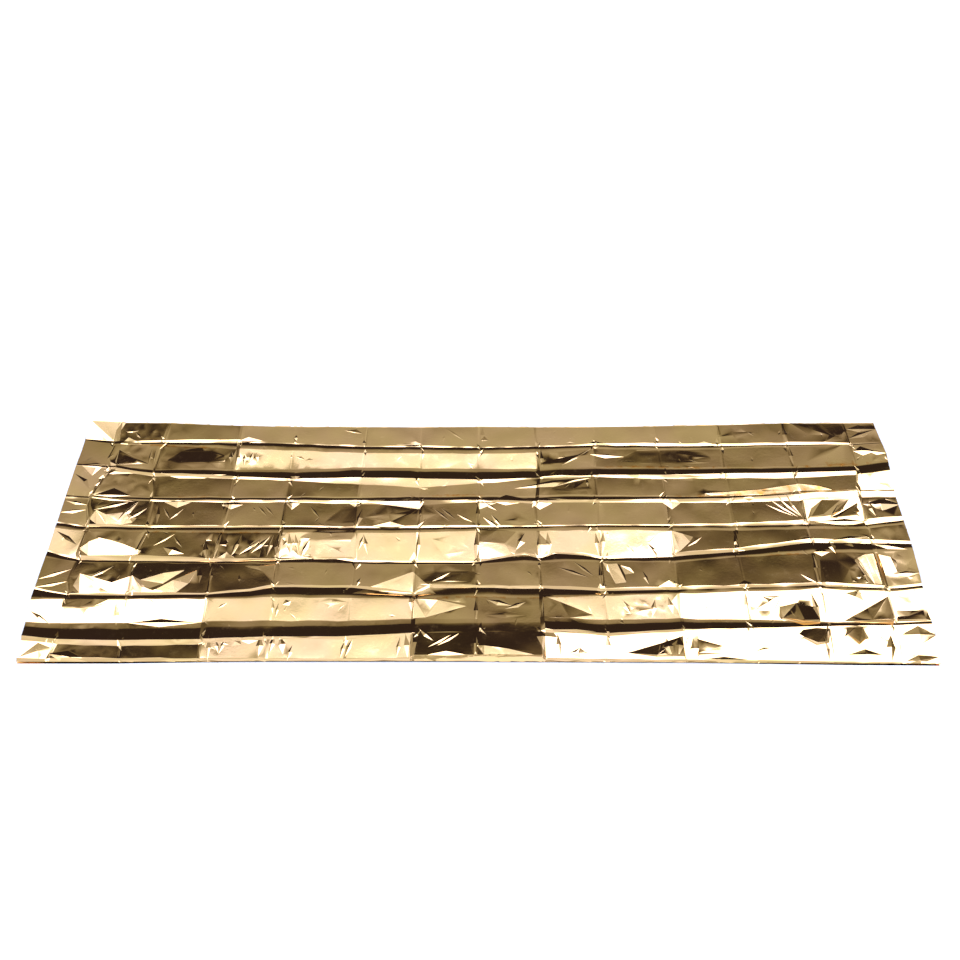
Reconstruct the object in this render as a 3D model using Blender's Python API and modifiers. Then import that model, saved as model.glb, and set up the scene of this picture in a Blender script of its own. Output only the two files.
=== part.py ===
"""Emergency foil blanket: one thin metallised sheet, folded once along its length and laid out flat.

The sheet is one piece, so the model is one closed solid. Its section is a "C" lying on its back: the lower
layer lies flat on the floor, turns over at a fold along the back edge, and comes forward again as the upper
layer. The upper layer keeps the relief of the blanket's packed folds. Seven lengthwise folds split it into
eight bands, and the transverse folds split each band into panels, each with a lean of its own.

Frame: +X along the length, +Y towards the back fold, +Z up, origin under the middle on the floor.
Units: metres, and degrees for leans.
"""

import math
from collections import namedtuple

import bmesh
import bpy

MM = 0.001

# Driving sizes
LENGTH = 2.10  # laid length, along X
DEPTH = 0.80  # front edges to the outermost reach of the back fold, along Y
FILM = 0.001  # thickness of the solid's layers
LAYER_CLEARANCE = 0.0005  # least air between the two layers
CREASE_HALF_WIDTH = 0.005  # a transverse fold's pinch, to either side of its line
FOLD_BULGE = 0.003  # largest reach of the back fold behind the upper layer

HALF_LENGTH = LENGTH / 2
HALF_DEPTH = DEPTH / 2
LOWEST_CREST = 2 * FILM + LAYER_CLEARANCE  # lowest outer face of the upper layer

# Transverse folds between the two cut ends: place along X, and how far the film is pinched up or down in mm.
Station = namedtuple("Station", "x pinch")
STATIONS = (
    Station(-0.968, 0.8),
    Station(-0.832, -0.4),
    Station(-0.637, 0.6),
    Station(-0.487, -0.4),
    Station(-0.305, 0.6),
    Station(-0.159, 0.6),
    Station(-0.010, -0.6),
    Station(0.141, 0.8),
    Station(0.295, -0.4),
    Station(0.460, 0.6),
    Station(0.621, -0.4),
    Station(0.798, 0.8),
    Station(0.955, 0.8),
)
SECTIONS = (-HALF_LENGTH, *(station.x for station in STATIONS), HALF_LENGTH)

# Lengthwise folds and edges of the upper layer, from back to front, in mm. Each has its place (y) and the
# height of its outer face (z) at each section, from the left end to the right end, and the width of the steep
# flanks on its far and near sides.
Crease = namedtuple("Crease", "name y z far_flank near_flank")
CREASES = (
    Crease("back",
           (397, 397, 397, 386, 383, 381, 381, 382, 381, 382, 385, 390, 396, 397, 397),
           (8, 8, 8, 8, 8, 8, 8, 8, 8, 8, 8, 8, 8, 8, 8), 0, 5),
    Crease("valley_a",
           (331, 318, 322, 322, 318, 307, 306, 302, 308, 313, 311, 310, 313, 314, 320),
           (6, 5, 5, 6, 6, 6, 6, 6, 4.5, 4, 4.5, 5, 6, 6, 6), 8, 8),
    Crease("ridge_b",
           (236, 226, 208, 198, 190, 194, 190, 186, 192, 200, 200, 204, 206, 213, 228),
           (7, 7.5, 7.5, 6.5, 7, 7, 6.5, 6.5, 8, 9, 9, 8.5, 8.5, 9, 9), 26, 14),
    Crease("ridge_c",
           (126, 120, 113, 113, 113, 112, 114, 113, 108, 110, 115, 118, 131, 142, 145),
           (5, 6, 6.5, 6, 6, 5.5, 5.5, 6, 7, 7, 6.5, 6.5, 7, 6.5, 5), 8, 14),
    Crease("valley_d",
           (36, 20, 17, 20, 21, 18, 17, 21, 23, 25, 25, 25, 31, 29, 44),
           (4, 4, 3.5, 3.5, 5, 5, 5, 4, 5, 5, 3.5, 3.5, 3.5, 3.5, 4), 8, 10),
    Crease("valley_e",
           (-58, -86, -90, -92, -86, -93, -94, -94, -78, -82, -76, -60, -30, -34, -38),
           (3, 3.5, 3.5, 3.5, 3, 3, 3, 3.5, 3, 3, 3, 3.5, 3, 3.5, 5), 10, 14),
    Crease("valley_f",
           (-184, -200, -202, -199, -173, -175, -196, -174, -178, -187, -184, -180, -173, -184, -174),
           (8, 8, 7.5, 7.5, 6, 4, 3.5, 4, 5, 6, 8, 9, 9.5, 9.5, 9), 8, 16),
    Crease("ridge_g",
           (-330, -338, -340, -335, -328, -327, -316, -312, -310, -318, -317, -307, -296, -292, -288),
           (12, 10, 9, 8, 8, 7.5, 7, 8.5, 11, 9.5, 8.5, 8.5, 9, 8.5, 8), 32, 8),
    Crease("front",
           (-394, -394, -394, -393, -392, -392, -392, -392, -393, -394, -395, -397, -398, -399, -400),
           (3.5, 3.5, 3.5, 3.5, 3.5, 3.5, 3.5, 3.5, 3.5, 3.5, 3.5, 3.5, 3.5, 3.5, 3.5), 8, 0),
)
# Free edge of the lower layer, in mm, at the same sections
LOWER_FRONT = (-396, -396, -395, -392, -391, -391, -391, -391, -392, -393, -395, -398, -400, -400, -400)

# Bands between the lengthwise folds: the height of the band's middle in mm, and the lean of each panel towards
# the front in degrees, from the left end to the right end.
Band = namedtuple("Band", "name z leans")
BANDS = (
    Band("band_1", 7.5, (1.7, -0.5, 0.3, 1.5, 1.8, 1.7, 1.6, 1.7, 1.8, 1.7, 1.4, 0.8, 0.2, 0.6)),
    Band("band_2", 5.5, (0.6, -0.6, -0.6, 3.4, 3.6, 3.7, 3.7, 3.5, -0.6, -1.0, -0.9, 0.4, 0.5, 0.8)),
    Band("band_3", 5.0, (3.2, -1.0, -0.4, -0.4, -0.8, 0.4, 0.3, 0.2, -0.2, 0.6, 0.5, -0.9, -1.5, 4.6)),
    Band("band_4", 4.8, (0.0, -2.4, -2.0, -1.3, -1.6, -1.7, -1.5, -0.6, -0.4, -0.4, -0.6, -1.6, 2.6, -2.2)),
    Band("band_5", 5.2, (1.6, -1.9, -2.8, -2.8, 1.6, 1.7, 1.8, -1.8, 1.6, 2.0, -2.9, -2.8, -2.2, -2.4)),
    Band("band_6", 6.6, (-2.6, -2.8, -3.2, -3.6, -2.1, -2.0, -3.0, -2.5, -2.7, -2.6, -3.6, -3.7, -3.2, -1.0)),
    Band("band_7", 7.4, (0.2, 2.0, 2.0, 0.2, 0.2, 0.2, -2.6, -4.0, -4.2, 0.1, 2.2, 1.8, 1.8, 1.6)),
    Band("band_8", 7.6, (0.8, -5.0, -5.1, -1.0, -0.6, -0.5, -5.9, -6.2, 1.4, 1.4, 1.6, 1.8, 1.4, 1.4)),
)

# The two cut ends: how far each stops short of the full half length in mm, from back to front.
EndPoint = namedtuple("EndPoint", "y left right")
END_PROFILE = (
    EndPoint(400, 12, 11),
    EndPoint(330, 16, 6),
    EndPoint(313, 15, 0),
    EndPoint(250, 11, 0),
    EndPoint(210, 9, 5),
    EndPoint(120, 6, 9),
    EndPoint(0, 4, 7),
    EndPoint(-95, 0, 8),
    EndPoint(-205, 0, 14),
    EndPoint(-350, 7, 16),
    EndPoint(-400, 8, 22),
)

# The back left corner of the upper layer stands up, creased from the corner to the first crossing.
CORNER_RISE = 0.012
CORNER_X = -0.955
CORNER_Y = 0.310

LOWER_ROWS = 5  # rows of vertices across the lower layer
FOLD_ROWS = 3  # rows of vertices around the back fold, between the layers


def interpolate(value, knots, values):
    """Piecewise linear value through the knots, held constant outside them."""
    if value <= knots[0]:
        return values[0]
    for index in range(len(knots) - 1):
        if value <= knots[index + 1]:
            share = (value - knots[index]) / (knots[index + 1] - knots[index])
            return values[index] + share * (values[index + 1] - values[index])
    return values[-1]


def column_table():
    """One (x, pinch, leans) entry for each column of vertices, from the left end to the right end."""
    edges = SECTIONS
    columns = []
    for panel in range(len(edges) - 1):
        leans = [band.leans[panel] for band in BANDS]
        inset_left = 0.0 if panel == 0 else CREASE_HALF_WIDTH
        inset_right = 0.0 if panel == len(edges) - 2 else CREASE_HALF_WIDTH
        columns.append((edges[panel] + inset_left, 0.0, leans))
        columns.append((edges[panel + 1] - inset_right, 0.0, leans))
        if panel < len(STATIONS):
            following = [band.leans[panel + 1] for band in BANDS]
            shared = [(lean + other) / 2 for lean, other in zip(leans, following)]
            columns.append((edges[panel + 1], STATIONS[panel].pinch * MM, shared))
    return columns


def end_inset(x, y):
    """Shift along X that gives the two cut ends their uneven line, fading out over the end panels."""
    rows = sorted(END_PROFILE, key=lambda point: point.y)
    ys = [point.y * MM for point in rows]
    if x < STATIONS[0].x:
        share = (STATIONS[0].x - x) / (STATIONS[0].x + HALF_LENGTH)
        return share * interpolate(y, ys, [point.left for point in rows]) * MM
    if x > STATIONS[-1].x:
        share = (x - STATIONS[-1].x) / (HALF_LENGTH - STATIONS[-1].x)
        return -share * interpolate(y, ys, [point.right for point in rows]) * MM
    return 0.0


def corner_lift(x, y):
    """Height added at the back left corner by its two creased facets."""
    along = (CORNER_X - x) / (CORNER_X + HALF_LENGTH)
    across = (y - CORNER_Y) / (HALF_DEPTH - CORNER_Y)
    return CORNER_RISE * max(0.0, min(along, across, 1.0))


def at_section(x, values):
    """Value in metres at x, from a row of values in mm at the sections."""
    return interpolate(x, SECTIONS, values) * MM


def upper_section(x, pinch, leans):
    """(y, z) points of the upper layer's outer face at one column, from the front edge to the back edge."""
    points = []
    for index, band in enumerate(BANDS):
        far, near = CREASES[index], CREASES[index + 1]
        far_y, near_y = at_section(x, far.y), at_section(x, near.y)
        strip_back = far_y - far.near_flank * MM
        strip_front = near_y + near.far_flank * MM
        rise = math.tan(math.radians(leans[index])) * (strip_back - strip_front) / 2
        points.append((far_y, at_section(x, far.z)))
        points.append((strip_back, band.z * MM + rise))
        points.append((strip_front, band.z * MM - rise))
    points.append((at_section(x, CREASES[-1].y), at_section(x, CREASES[-1].z)))
    section = [(y, max(LOWEST_CREST, z + pinch + corner_lift(x, y))) for y, z in points]
    return list(reversed(section))


def whole_section(x, pinch, leans):
    """(y, z) points of the whole outer face at one column: upper layer, back fold, lower layer."""
    section = upper_section(x, pinch, leans)
    back_y, crest = section[-1]
    for step in range(1, FOLD_ROWS + 1):
        angle = math.pi / 2 - math.pi * step / (FOLD_ROWS + 1)
        section.append((back_y + FOLD_BULGE * math.cos(angle), crest / 2 * (1 + math.sin(angle))))
    front_y = at_section(x, LOWER_FRONT)
    for step in range(LOWER_ROWS):
        section.append((back_y + (front_y - back_y) * step / (LOWER_ROWS - 1), 0.0))
    return section


def foil_material():
    """Gold metallised polyester film."""
    material = bpy.data.materials.new("gold_metallised_film")
    material.use_nodes = True
    shader = material.node_tree.nodes["Principled BSDF"]
    shader.inputs["Base Color"].default_value = (0.95, 0.72, 0.36, 1.0)
    shader.inputs["Metallic"].default_value = 1.0
    shader.inputs["Roughness"].default_value = 0.12
    return material


def build_sheet(collection):
    """The folded sheet: a grid of columns along X, moved onto its sections, then given its thickness."""
    columns = column_table()
    sections = [whole_section(*column) for column in columns]
    rows = len(sections[0])

    mesh = bpy.data.meshes.new("foil_sheet")
    grid = bmesh.new()
    bmesh.ops.create_grid(grid, x_segments=len(columns) - 1, y_segments=rows - 1, size=0.5)
    for vertex in grid.verts:
        column = round((vertex.co.x + 0.5) * (len(columns) - 1))
        row = round((vertex.co.y + 0.5) * (rows - 1))
        x = columns[column][0]
        y, z = sections[column][row]
        vertex.co = (x + end_inset(x, y), y, z)
    grid.to_mesh(mesh)
    grid.free()

    sheet = bpy.data.objects.new("foil_sheet", mesh)
    sheet.data.materials.append(foil_material())
    collection.objects.link(sheet)

    solidify = sheet.modifiers.new("Film", "SOLIDIFY")
    solidify.thickness = FILM
    solidify.offset = -1.0
    solidify.use_even_offset = True
    solidify.use_rim = True
    return sheet


def main():
    for leftover in list(bpy.data.objects):
        bpy.data.objects.remove(leftover, do_unlink=True)
    collection = bpy.data.collections.new("emergency_foil_blanket")
    bpy.context.scene.collection.children.link(collection)
    build_sheet(collection)


main()
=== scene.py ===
"""Looks of the emergency foil blanket: the gold film's folds and crinkles, its finish, and the studio.

The blanket is one sheet of metallised film, folded once along its length and laid on a pale floor. This
script gives it a fine surface: lengthwise folds and leaning panels, pinched transverse folds, buckles, flaps
and small crinkles. It dresses it as vacuum-metallised polyester.

Units are metres, and degrees for leans and turns. Tables are in millimetres where they say so.
"""

import logging
import math
from dataclasses import dataclass
from enum import Enum
from typing import Sequence

import bpy
import numpy as np
from mathutils.geometry import delaunay_2d_cdt
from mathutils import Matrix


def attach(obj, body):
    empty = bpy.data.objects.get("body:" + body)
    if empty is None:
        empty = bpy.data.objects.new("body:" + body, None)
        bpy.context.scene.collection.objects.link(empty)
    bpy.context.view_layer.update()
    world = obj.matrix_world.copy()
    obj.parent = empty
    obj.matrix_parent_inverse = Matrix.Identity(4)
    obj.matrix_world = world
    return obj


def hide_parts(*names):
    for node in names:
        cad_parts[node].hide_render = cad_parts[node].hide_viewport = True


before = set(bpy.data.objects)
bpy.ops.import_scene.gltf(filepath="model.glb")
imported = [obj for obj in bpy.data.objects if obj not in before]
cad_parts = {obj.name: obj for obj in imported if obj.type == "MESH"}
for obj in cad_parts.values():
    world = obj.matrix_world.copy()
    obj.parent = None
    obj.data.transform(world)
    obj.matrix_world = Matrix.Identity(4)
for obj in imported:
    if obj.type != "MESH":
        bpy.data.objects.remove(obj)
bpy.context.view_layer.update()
LOG = logging.getLogger("foil_blanket")

MM = 0.001
TINY = 1e-6
ROUNDING = 1e-9
BODY = "root"
CAD_NODE = "foil_sheet"


def linear_colour(hex_code: str) -> tuple[float, float, float, float]:
    """Turn an sRGB hex colour into linear RGBA.

    Args:
        hex_code: six hex digits, such as "C89B5A".

    Returns:
        Linear red, green, blue and an alpha of 1.
    """
    channels = [int(hex_code[start:start + 2], 16) / 255 for start in (0, 2, 4)]
    linear = [c / 12.92 if c <= 0.04045 else ((c + 0.055) / 1.055) ** 2.4 for c in channels]
    return (linear[0], linear[1], linear[2], 1.0)


def add_node(tree: bpy.types.NodeTree, kind: str, settings: dict | None = None,
             values: dict | None = None, links: dict | None = None) -> bpy.types.Node:
    """Add a node with its settings, socket values and incoming links.

    Args:
        tree: the node tree to add to.
        kind: the node's type identifier.
        settings: attributes to set on the node.
        values: input socket to default value.
        links: input socket to the output socket that feeds it.

    Returns:
        The new node.
    """
    node = tree.nodes.new(kind)
    for name, value in (settings or {}).items():
        setattr(node, name, value)
    for socket, value in (values or {}).items():
        node.inputs[socket].default_value = value
    for socket, source in (links or {}).items():
        tree.links.new(source, node.inputs[socket])
    return node


def slope_of(lean: float) -> float:
    """Turn a lean in degrees into a slope."""
    return math.tan(math.radians(lean))


def add_math(tree: bpy.types.NodeTree, operation: str, links: dict,
             values: dict | None = None) -> bpy.types.Node:
    """Add a math node."""
    return add_node(tree, "ShaderNodeMath", {"operation": operation}, values, links)


def add_noise(tree: bpy.types.NodeTree, place: bpy.types.NodeSocket, **values: float) -> bpy.types.Node:
    """Add a noise texture at a place, with its sizes."""
    return add_node(tree, "ShaderNodeTexNoise", values=values, links={"Vector": place})


def add_range(tree: bpy.types.NodeTree, value: bpy.types.NodeSocket, start: float, end: float,
              low: float = 0.0, high: float = 1.0) -> bpy.types.Node:
    """Add a node that passes from low to high as a value goes from start to end."""
    sizes = {"From Min": start, "From Max": end, "To Min": low, "To Max": high}
    return add_node(tree, "ShaderNodeMapRange", values=sizes, links={"Value": value})


# ---------------------------------------------------------------------------------------------------------
# The folds
# ---------------------------------------------------------------------------------------------------------

# Transverse folds along X in metres, with the two cut ends.
STATIONS = (-1.050, -0.968, -0.832, -0.637, -0.487, -0.305, -0.159, -0.010,
            0.141, 0.295, 0.460, 0.621, 0.798, 0.955, 1.050)
PANELS = len(STATIONS) - 1


def per_panel(value: float | Sequence[float]) -> np.ndarray:
    """Give one value for each panel, from a single value or a row of them."""
    return np.broadcast_to(np.array(value, dtype=float), (PANELS,))


class Side(Enum):
    """The two flanks of a lengthwise fold."""

    FAR = "far"
    NEAR = "near"


@dataclass(frozen=True)
class Crease:
    """A lengthwise fold or edge of the upper layer, with a curved flank on either side.

    Attributes:
        name: what it is.
        y: place in mm at each station.
        far: width in mm of the flank behind it, one value or one for each station.
        near: the same for the flank in front of it.
        far_lean: how the far flank leans towards the front in degrees, one value or one for each panel.
        near_lean: the same for the near flank.
        curl: how much steeper the flanks are at the fold than at their outer edge; 1 is flat.
        far_shoulder: (share, lean) of the outer part of the far flank that leans another way.
        near_shoulder: the same for the near flank.
        painted_glint: how much amber is painted along its dark flank, a painted glint for the warm
            reflections in the fold, one value or one for each panel.
        wander: how much its height wanders along it, as a share of the usual.
        bows: (x, shift) pairs in mm where the fold strays towards the back between two stations.
    """

    name: str
    y: Sequence[float]
    far: float | Sequence[float]
    near: float | Sequence[float]
    far_lean: float | Sequence[float] = 0.0
    near_lean: float | Sequence[float] = 0.0
    curl: float = 1.25
    far_shoulder: tuple[float, float] = (0.0, 0.0)
    near_shoulder: tuple[float, float] = (0.0, 0.0)
    painted_glint: float | Sequence[float] = 0.0
    wander: float = 1.0
    bows: Sequence[tuple[float, float]] = ()

    def bow(self, x: np.ndarray) -> np.ndarray:
        """How far the fold strays towards the back at each x, in metres."""
        places = np.array([(station / MM, 0.0) for station in STATIONS] + list(self.bows)) * MM
        places = places[np.argsort(places[:, 0])]
        return np.interp(x, places[:, 0], places[:, 1])

    @property
    def is_valley(self) -> bool:
        """Whether its near flank rises towards the front."""
        return float(np.mean(self.near_lean)) < 0


CREASES = (
    Crease("back edge",
           y=(397, 399, 397, 386, 383, 381, 381, 382, 381, 382, 385, 390, 396, 398, 398),
           far=0,
           near=3,
           near_lean=4),
    Crease("valley a",
           y=(331, 319, 323, 323, 317, 307, 306, 303, 307, 313, 311, 310, 313, 314, 320),
           far=(4, 6, 7, 9, 5, 4, 5, 4, 3, 6, 9, 7, 8, 4, 3),
           near=(5, 8, 13, 24, 26, 25, 24, 24, 24, 14, 15, 12, 8, 6, 5),
           far_lean=(10, 10, 4.8, 4.2, 4.2, 4.2, 4.0, 3.2, 3.4, 10, 10, 4.8, 6, 1),
           near_lean=(-3, -2.2, -2.0, -1.4, -1.2, -0.1, 0.0, -0.2, -1.6, -1.5, -1.2, -1.2, -1.6, -2),
           near_shoulder=(0.55, 1.2),
           painted_glint=(0.2, 1, 1, 0.6, 0.3, 0.3, 0.2, 0.2, 0.3, 0.6, 0.4, 0.2, 0.2, 0.2)),
    Crease("ridge b",
           y=(236, 226, 208, 198, 190, 194, 190, 186, 192, 200, 200, 204, 206, 213, 228),
           far=(5, 8, 14, 26, 34, 38, 38, 40, 36, 32, 28, 26, 24, 24, 26),
           near=(4, 6, 8, 7, 5, 25, 31, 12, 4, 6, 10, 13, 16, 13, 12),
           far_lean=-3.4,
           near_lean=(3.5, 9, 10, 10, 9, 3.4, 3.4, 5, 3.4, 10, 10, 10, 5.5, 6),
           curl=1.1,
           far_shoulder=(0.26, 0.5),
           wander=0.2,
           painted_glint=(0.2, 0.2, 0.2, 0.3, 0.2, 0.4, 0.2, 0.2, 0.5, 1, 1, 0.8, 1, 0.8)),
    Crease("ridge c",
           y=(126, 120, 113, 113, 113, 112, 114, 113, 108, 110, 115, 118, 131, 142, 145),
           far=(6, 8, 12, 13, 13, 14, 16, 18, 20, 17, 13, 9, 5, 5, 6),
           far_shoulder=(0.35, 1.2),
           near=(8, 4, 5, 5, 6, 11, 20, 5, 5, 7, 9, 11, 18, 20, 20),
           far_lean=(-4.3,) * 12 + (2.2, 0.5),
           near_lean=(3, 1, 9, 9, 9, 9, 6, 6, 9, 10, 10, 10, 4.2, 4.2),
           painted_glint=(0.2, 0.3, 1, 0.5, 0.2, 0.2, 1, 0.6, 0.5, 0.7, 1, 1, 1, 0.3)),
    Crease("valley d",
           y=(36, 20, 17, 20, 21, 18, 17, 21, 23, 25, 25, 25, 31, 29, 44),
           far=(4, 4, 6, 5, 5, 4, 8, 5, 4, 3, 4, 7, 12, 14, 14),
           near=(18, 14, 15, 19, 20, 18, 15, 13, 15, 17, 17, 16, 15, 15, 14),
           far_lean=(3, 6, 6, 5, 5, 5, 4, 3.4, 3.4, 3.4, 5, 8, 5.5, 6),
           near_lean=(-5, -3.6, -3.4, -3.4, -3.4, -3.3, -3.0, -3.0, -2.2, -2.0, -2.0, -1.9, -2.2, -2.4),
           near_shoulder=(0.5, -0.8),
           painted_glint=(0.2, 0.8, 0.9, 1, 0.6, 0.2, 0.2, 0.2, 0.3, 0.2, 0.2, 0.2, 1, 0.6)),
    Crease("valley e",
           y=(-58, -86, -90, -92, -88, -93, -94, -94, -82, -83, -76, -60, -30, -34, -38),
           far=(5, 9, 12, 7, 4, 4, 3, 3, 5, 5, 9, 9, 10, 12, 8),
           near=(22, 9, 7, 8, 11, 8, 8, 9, 12, 9, 20, 20, 38, 32, 20),
           far_lean=(3, 8, 8, 8, 7, 5, 6, 6, 4, 8, 9, 9, 9, 9),
           near_lean=-5.4,
           near_shoulder=(0.28, -1.6),
           bows=((-410, 8), (-350, 9), (40, 7), (105, 17), (180, 17), (250, 12)),
           painted_glint=(0.2, 0.2, 0.3, 0.2, 0.3, 0.2, 0.2, 0.2, 0.3, 0.4, 0.6, 0.9, 0.9, 0.4)),
    Crease("valley f",
           y=(-184, -200, -202, -199, -173, -175, -196, -174, -178, -187, -184, -180, -173, -184, -174),
           far=(4, 4, 6, 4, 4, 4, 9, 6, 6, 6, 8, 7, 8, 7, 7),
           near=(34, 14, 12, 16, 34, 34, 14, 30, 30, 16, 13, 12, 11, 10, 10),
           far_lean=(3, 6, 7, 7, 7, 6, 7, 7, 8, 8, 8, 8, 8, 8),
           near_lean=(-6.4, -5.6, -5.2, -6.2, -6.4, -6.4, -5.8, -6.2, -6.2, -5.6, -4.2, -4.2, -4.4, -4.8),
           curl=1.15,
           near_shoulder=(0.25, -2.6),
           bows=((-122, 15), (-80, 9), (-540, -5)),
           painted_glint=(0.3, 0.5, 0.4, 0.5, 0.6, 0.6, 1, 0.9, 0.9, 0.7, 0.6, 0.4, 0.5, 0.5)),
    Crease("ridge g",
           y=(-328, -336, -338, -336, -328, -327, -316, -312, -310, -318, -306, -302, -296, -292, -288),
           far=(42, 52, 54, 54, 50, 48, 44, 38, 38, 44, 34, 27, 14, 8, 8),
           near=(10, 10, 12, 8, 5, 5, 2, 2, 3, 6, 6, 6, 6, 6, 6),
           far_lean=-6.8,
           near_lean=(7, 8, 8, 8, 12, 12, -6, -6.5, 8, 6, 5, 4, 4, 4),
           curl=1.1,
           far_shoulder=(0.33, -3.3),
           painted_glint=0.4),
    Crease("front edge",
           y=(-394, -394, -394, -393, -392, -392, -392, -392, -393, -394, -395, -397, -398, -399, -400),
           far=(8, 8, 8, 6, 5, 5, 6, 7, 6, 6, 6, 6, 6, 6, 6),
           near=0,
           far_lean=(11,) * 6 + (42, 42) + (11,) * 6),
)


@dataclass(frozen=True)
class Band:
    """A flat stretch between two lengthwise folds.

    Attributes:
        name: which band it is, counted from the back.
        leans: each panel's lean towards the front, in degrees, from the left end to the right end.
    """

    name: str
    leans: Sequence[float]


BANDS = (
    Band("band 1", (0.0, -0.2, 0.6, 1.7, 1.8, 1.7, 1.5, 1.6, 1.6, 1.5, 1.2, 0.0, -0.9, -0.1)),
    Band("band 2", (0.8, 0.4, -0.2, 3.8, 3.9, 3.9, 3.9, 3.8, 0.4, -0.6, -0.7, -0.6, -0.2, 0.2)),
    Band("band 3", (2.2, -0.7, -0.9, -0.4, -1.0, 0.2, 0.0, 0.0, -0.9, -1.0, -1.0, -1.3, -1.5, 4.4)),
    Band("band 4", (0.0, -2.2, -1.8, -0.9, -1.5, -1.5, -1.3, -0.7, -0.5, -0.6, -1.6, -2.15, 3.4, -2.2)),
    Band("band 5", (2.2, -1.5, -2.5, -2.6, 1.9, 1.6, 1.8, 0.3, 1.6, 2.2, -2.9, -2.9, -2.3, -2.5)),
    Band("band 6", (-2.6, -2.8, -3.7, -3.5, -1.9, -2.0, -2.8, -2.1, -2.6, -2.8, -3.7, -3.7, -3.2, -1.0)),
    Band("band 7", (2.0, 2.4, 2.4, 0.2, 0.2, 0.2, -2.8, -3.4, 0.2, 0.4, 2.4, 2.2, 2.2, 2.0)),
    Band("band 8", (2.4, -4.8, -5.0, -0.6, -0.1, -0.1, -5.5, -5.7, 1.6, 1.6, 1.8, 2.0, 1.8, 1.8)),
)


@dataclass(frozen=True)
class Buckle:
    """A small peak (or dent) pressed in the film: a four-sided tent with sharp edges. All sizes are in mm.

    Attributes:
        x: place of its tip along the sheet.
        y: place of its tip across the sheet.
        rise: height of the tip, below zero for a dent.
        left, right, back, front: how far it reaches from the tip.
        turn: turn about the tip, in degrees, counter-clockwise seen from above.
        crisp: whether its edges are sharp creases, or the film bends softly over it.
    """

    x: float
    y: float
    rise: float
    left: float
    right: float
    back: float
    front: float
    turn: float = 0.0
    crisp: bool = True

    def corners(self) -> list[tuple[float, float]]:
        """Tip and four corners in metres: tip, right, back, left, front."""
        angle = math.radians(self.turn)
        reaches = ((0.0, 0.0), (self.right, 0.0), (0.0, self.back), (-self.left, 0.0), (0.0, -self.front))
        return [((self.x + math.cos(angle) * u - math.sin(angle) * v) * MM,
                 (self.y + math.sin(angle) * u + math.cos(angle) * v) * MM) for u, v in reaches]

    def height(self, x: np.ndarray, y: np.ndarray) -> np.ndarray:
        """Height that it adds at each point, in metres."""
        angle = math.radians(self.turn)
        dx, dy = x - self.x * MM, y - self.y * MM
        along = math.cos(angle) * dx + math.sin(angle) * dy
        across = math.cos(angle) * dy - math.sin(angle) * dx
        reach_along = np.where(along < 0, self.left, self.right) * MM
        reach_across = np.where(across < 0, self.front, self.back) * MM
        share = 1 - np.abs(along) / reach_along - np.abs(across) / reach_across
        return self.rise * MM * np.maximum(share, 0)


@dataclass(frozen=True)
class Flap:
    """A facet of any outline that stands off the film: it falls from a crest to a foot. Sizes are in mm.

    Attributes:
        name: what it is.
        crest: (x, y, rise) along its high edge.
        foot: (x, y) along its low edge, one for each point of the crest.
        lip: how far beyond the crest, or beyond its shelf, the film is back at its own level.
        shelf: how far beyond the crest the film stays up before the lip.
        crisp: whether its edges are sharp creases, or the film bends softly into it.
        painted_glint_share: how much amber is painted on it, a painted glint.
        least_area: below twice this many square metres a facet counts as none.
    """

    name: str
    crest: Sequence[tuple[float, float, float]]
    foot: Sequence[tuple[float, float]]
    lip: float = 3.0
    shelf: float = 0.0
    crisp: bool = True
    painted_glint_share: float = 0.0
    least_area = 1e-10

    def lines(self) -> list[np.ndarray]:
        """Foot, crest, end of the shelf and end of the lip, each as rows of (x, y, height) in metres."""
        crest = np.array(self.crest) * MM
        level = np.zeros(len(crest))
        foot = np.column_stack([np.array(self.foot) * MM, level])
        away = crest[:, :2] - foot[:, :2]
        away /= np.maximum(np.linalg.norm(away, axis=1, keepdims=True), TINY)
        beyond = np.column_stack([crest[:, :2] + away * (self.shelf + self.lip) * MM, level])
        shelf = [crest + np.column_stack([away * self.shelf * MM, level])] if self.shelf else []
        return [foot, crest, *shelf, beyond]

    @staticmethod
    def strips(lines: list) -> list[tuple]:
        """Pair each line with the one that its strip of film falls to."""
        return [(lines[1], lines[0])] + list(zip(lines[1:], lines[2:]))

    def facets(self) -> list[np.ndarray]:
        """The triangles that make it, as corners of (x, y, height)."""
        found = []
        for upper, low in self.strips(self.lines()):
            for i in range(len(upper) - 1):
                found.append(np.array([upper[i], upper[i + 1], low[i + 1]]))
                found.append(np.array([upper[i], low[i + 1], low[i]]))
        return found

    def height(self, x: np.ndarray, y: np.ndarray) -> np.ndarray:
        """Height that it adds at each point, in metres."""
        total = np.zeros_like(x)
        for a, b, c in self.facets():
            twice = (b[0] - a[0]) * (c[1] - a[1]) - (b[1] - a[1]) * (c[0] - a[0])
            if abs(twice) < self.least_area:
                continue
            u = ((x - a[0]) * (c[1] - a[1]) - (y - a[1]) * (c[0] - a[0])) / twice
            v = ((b[0] - a[0]) * (y - a[1]) - (b[1] - a[1]) * (x - a[0])) / twice
            inside = (u > -TINY) & (v > -TINY) & (u + v < 1 + TINY)
            here = a[2] + u * (b[2] - a[2]) + v * (c[2] - a[2])
            total = np.where(inside, np.maximum(total, here), total)
        return total


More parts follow.
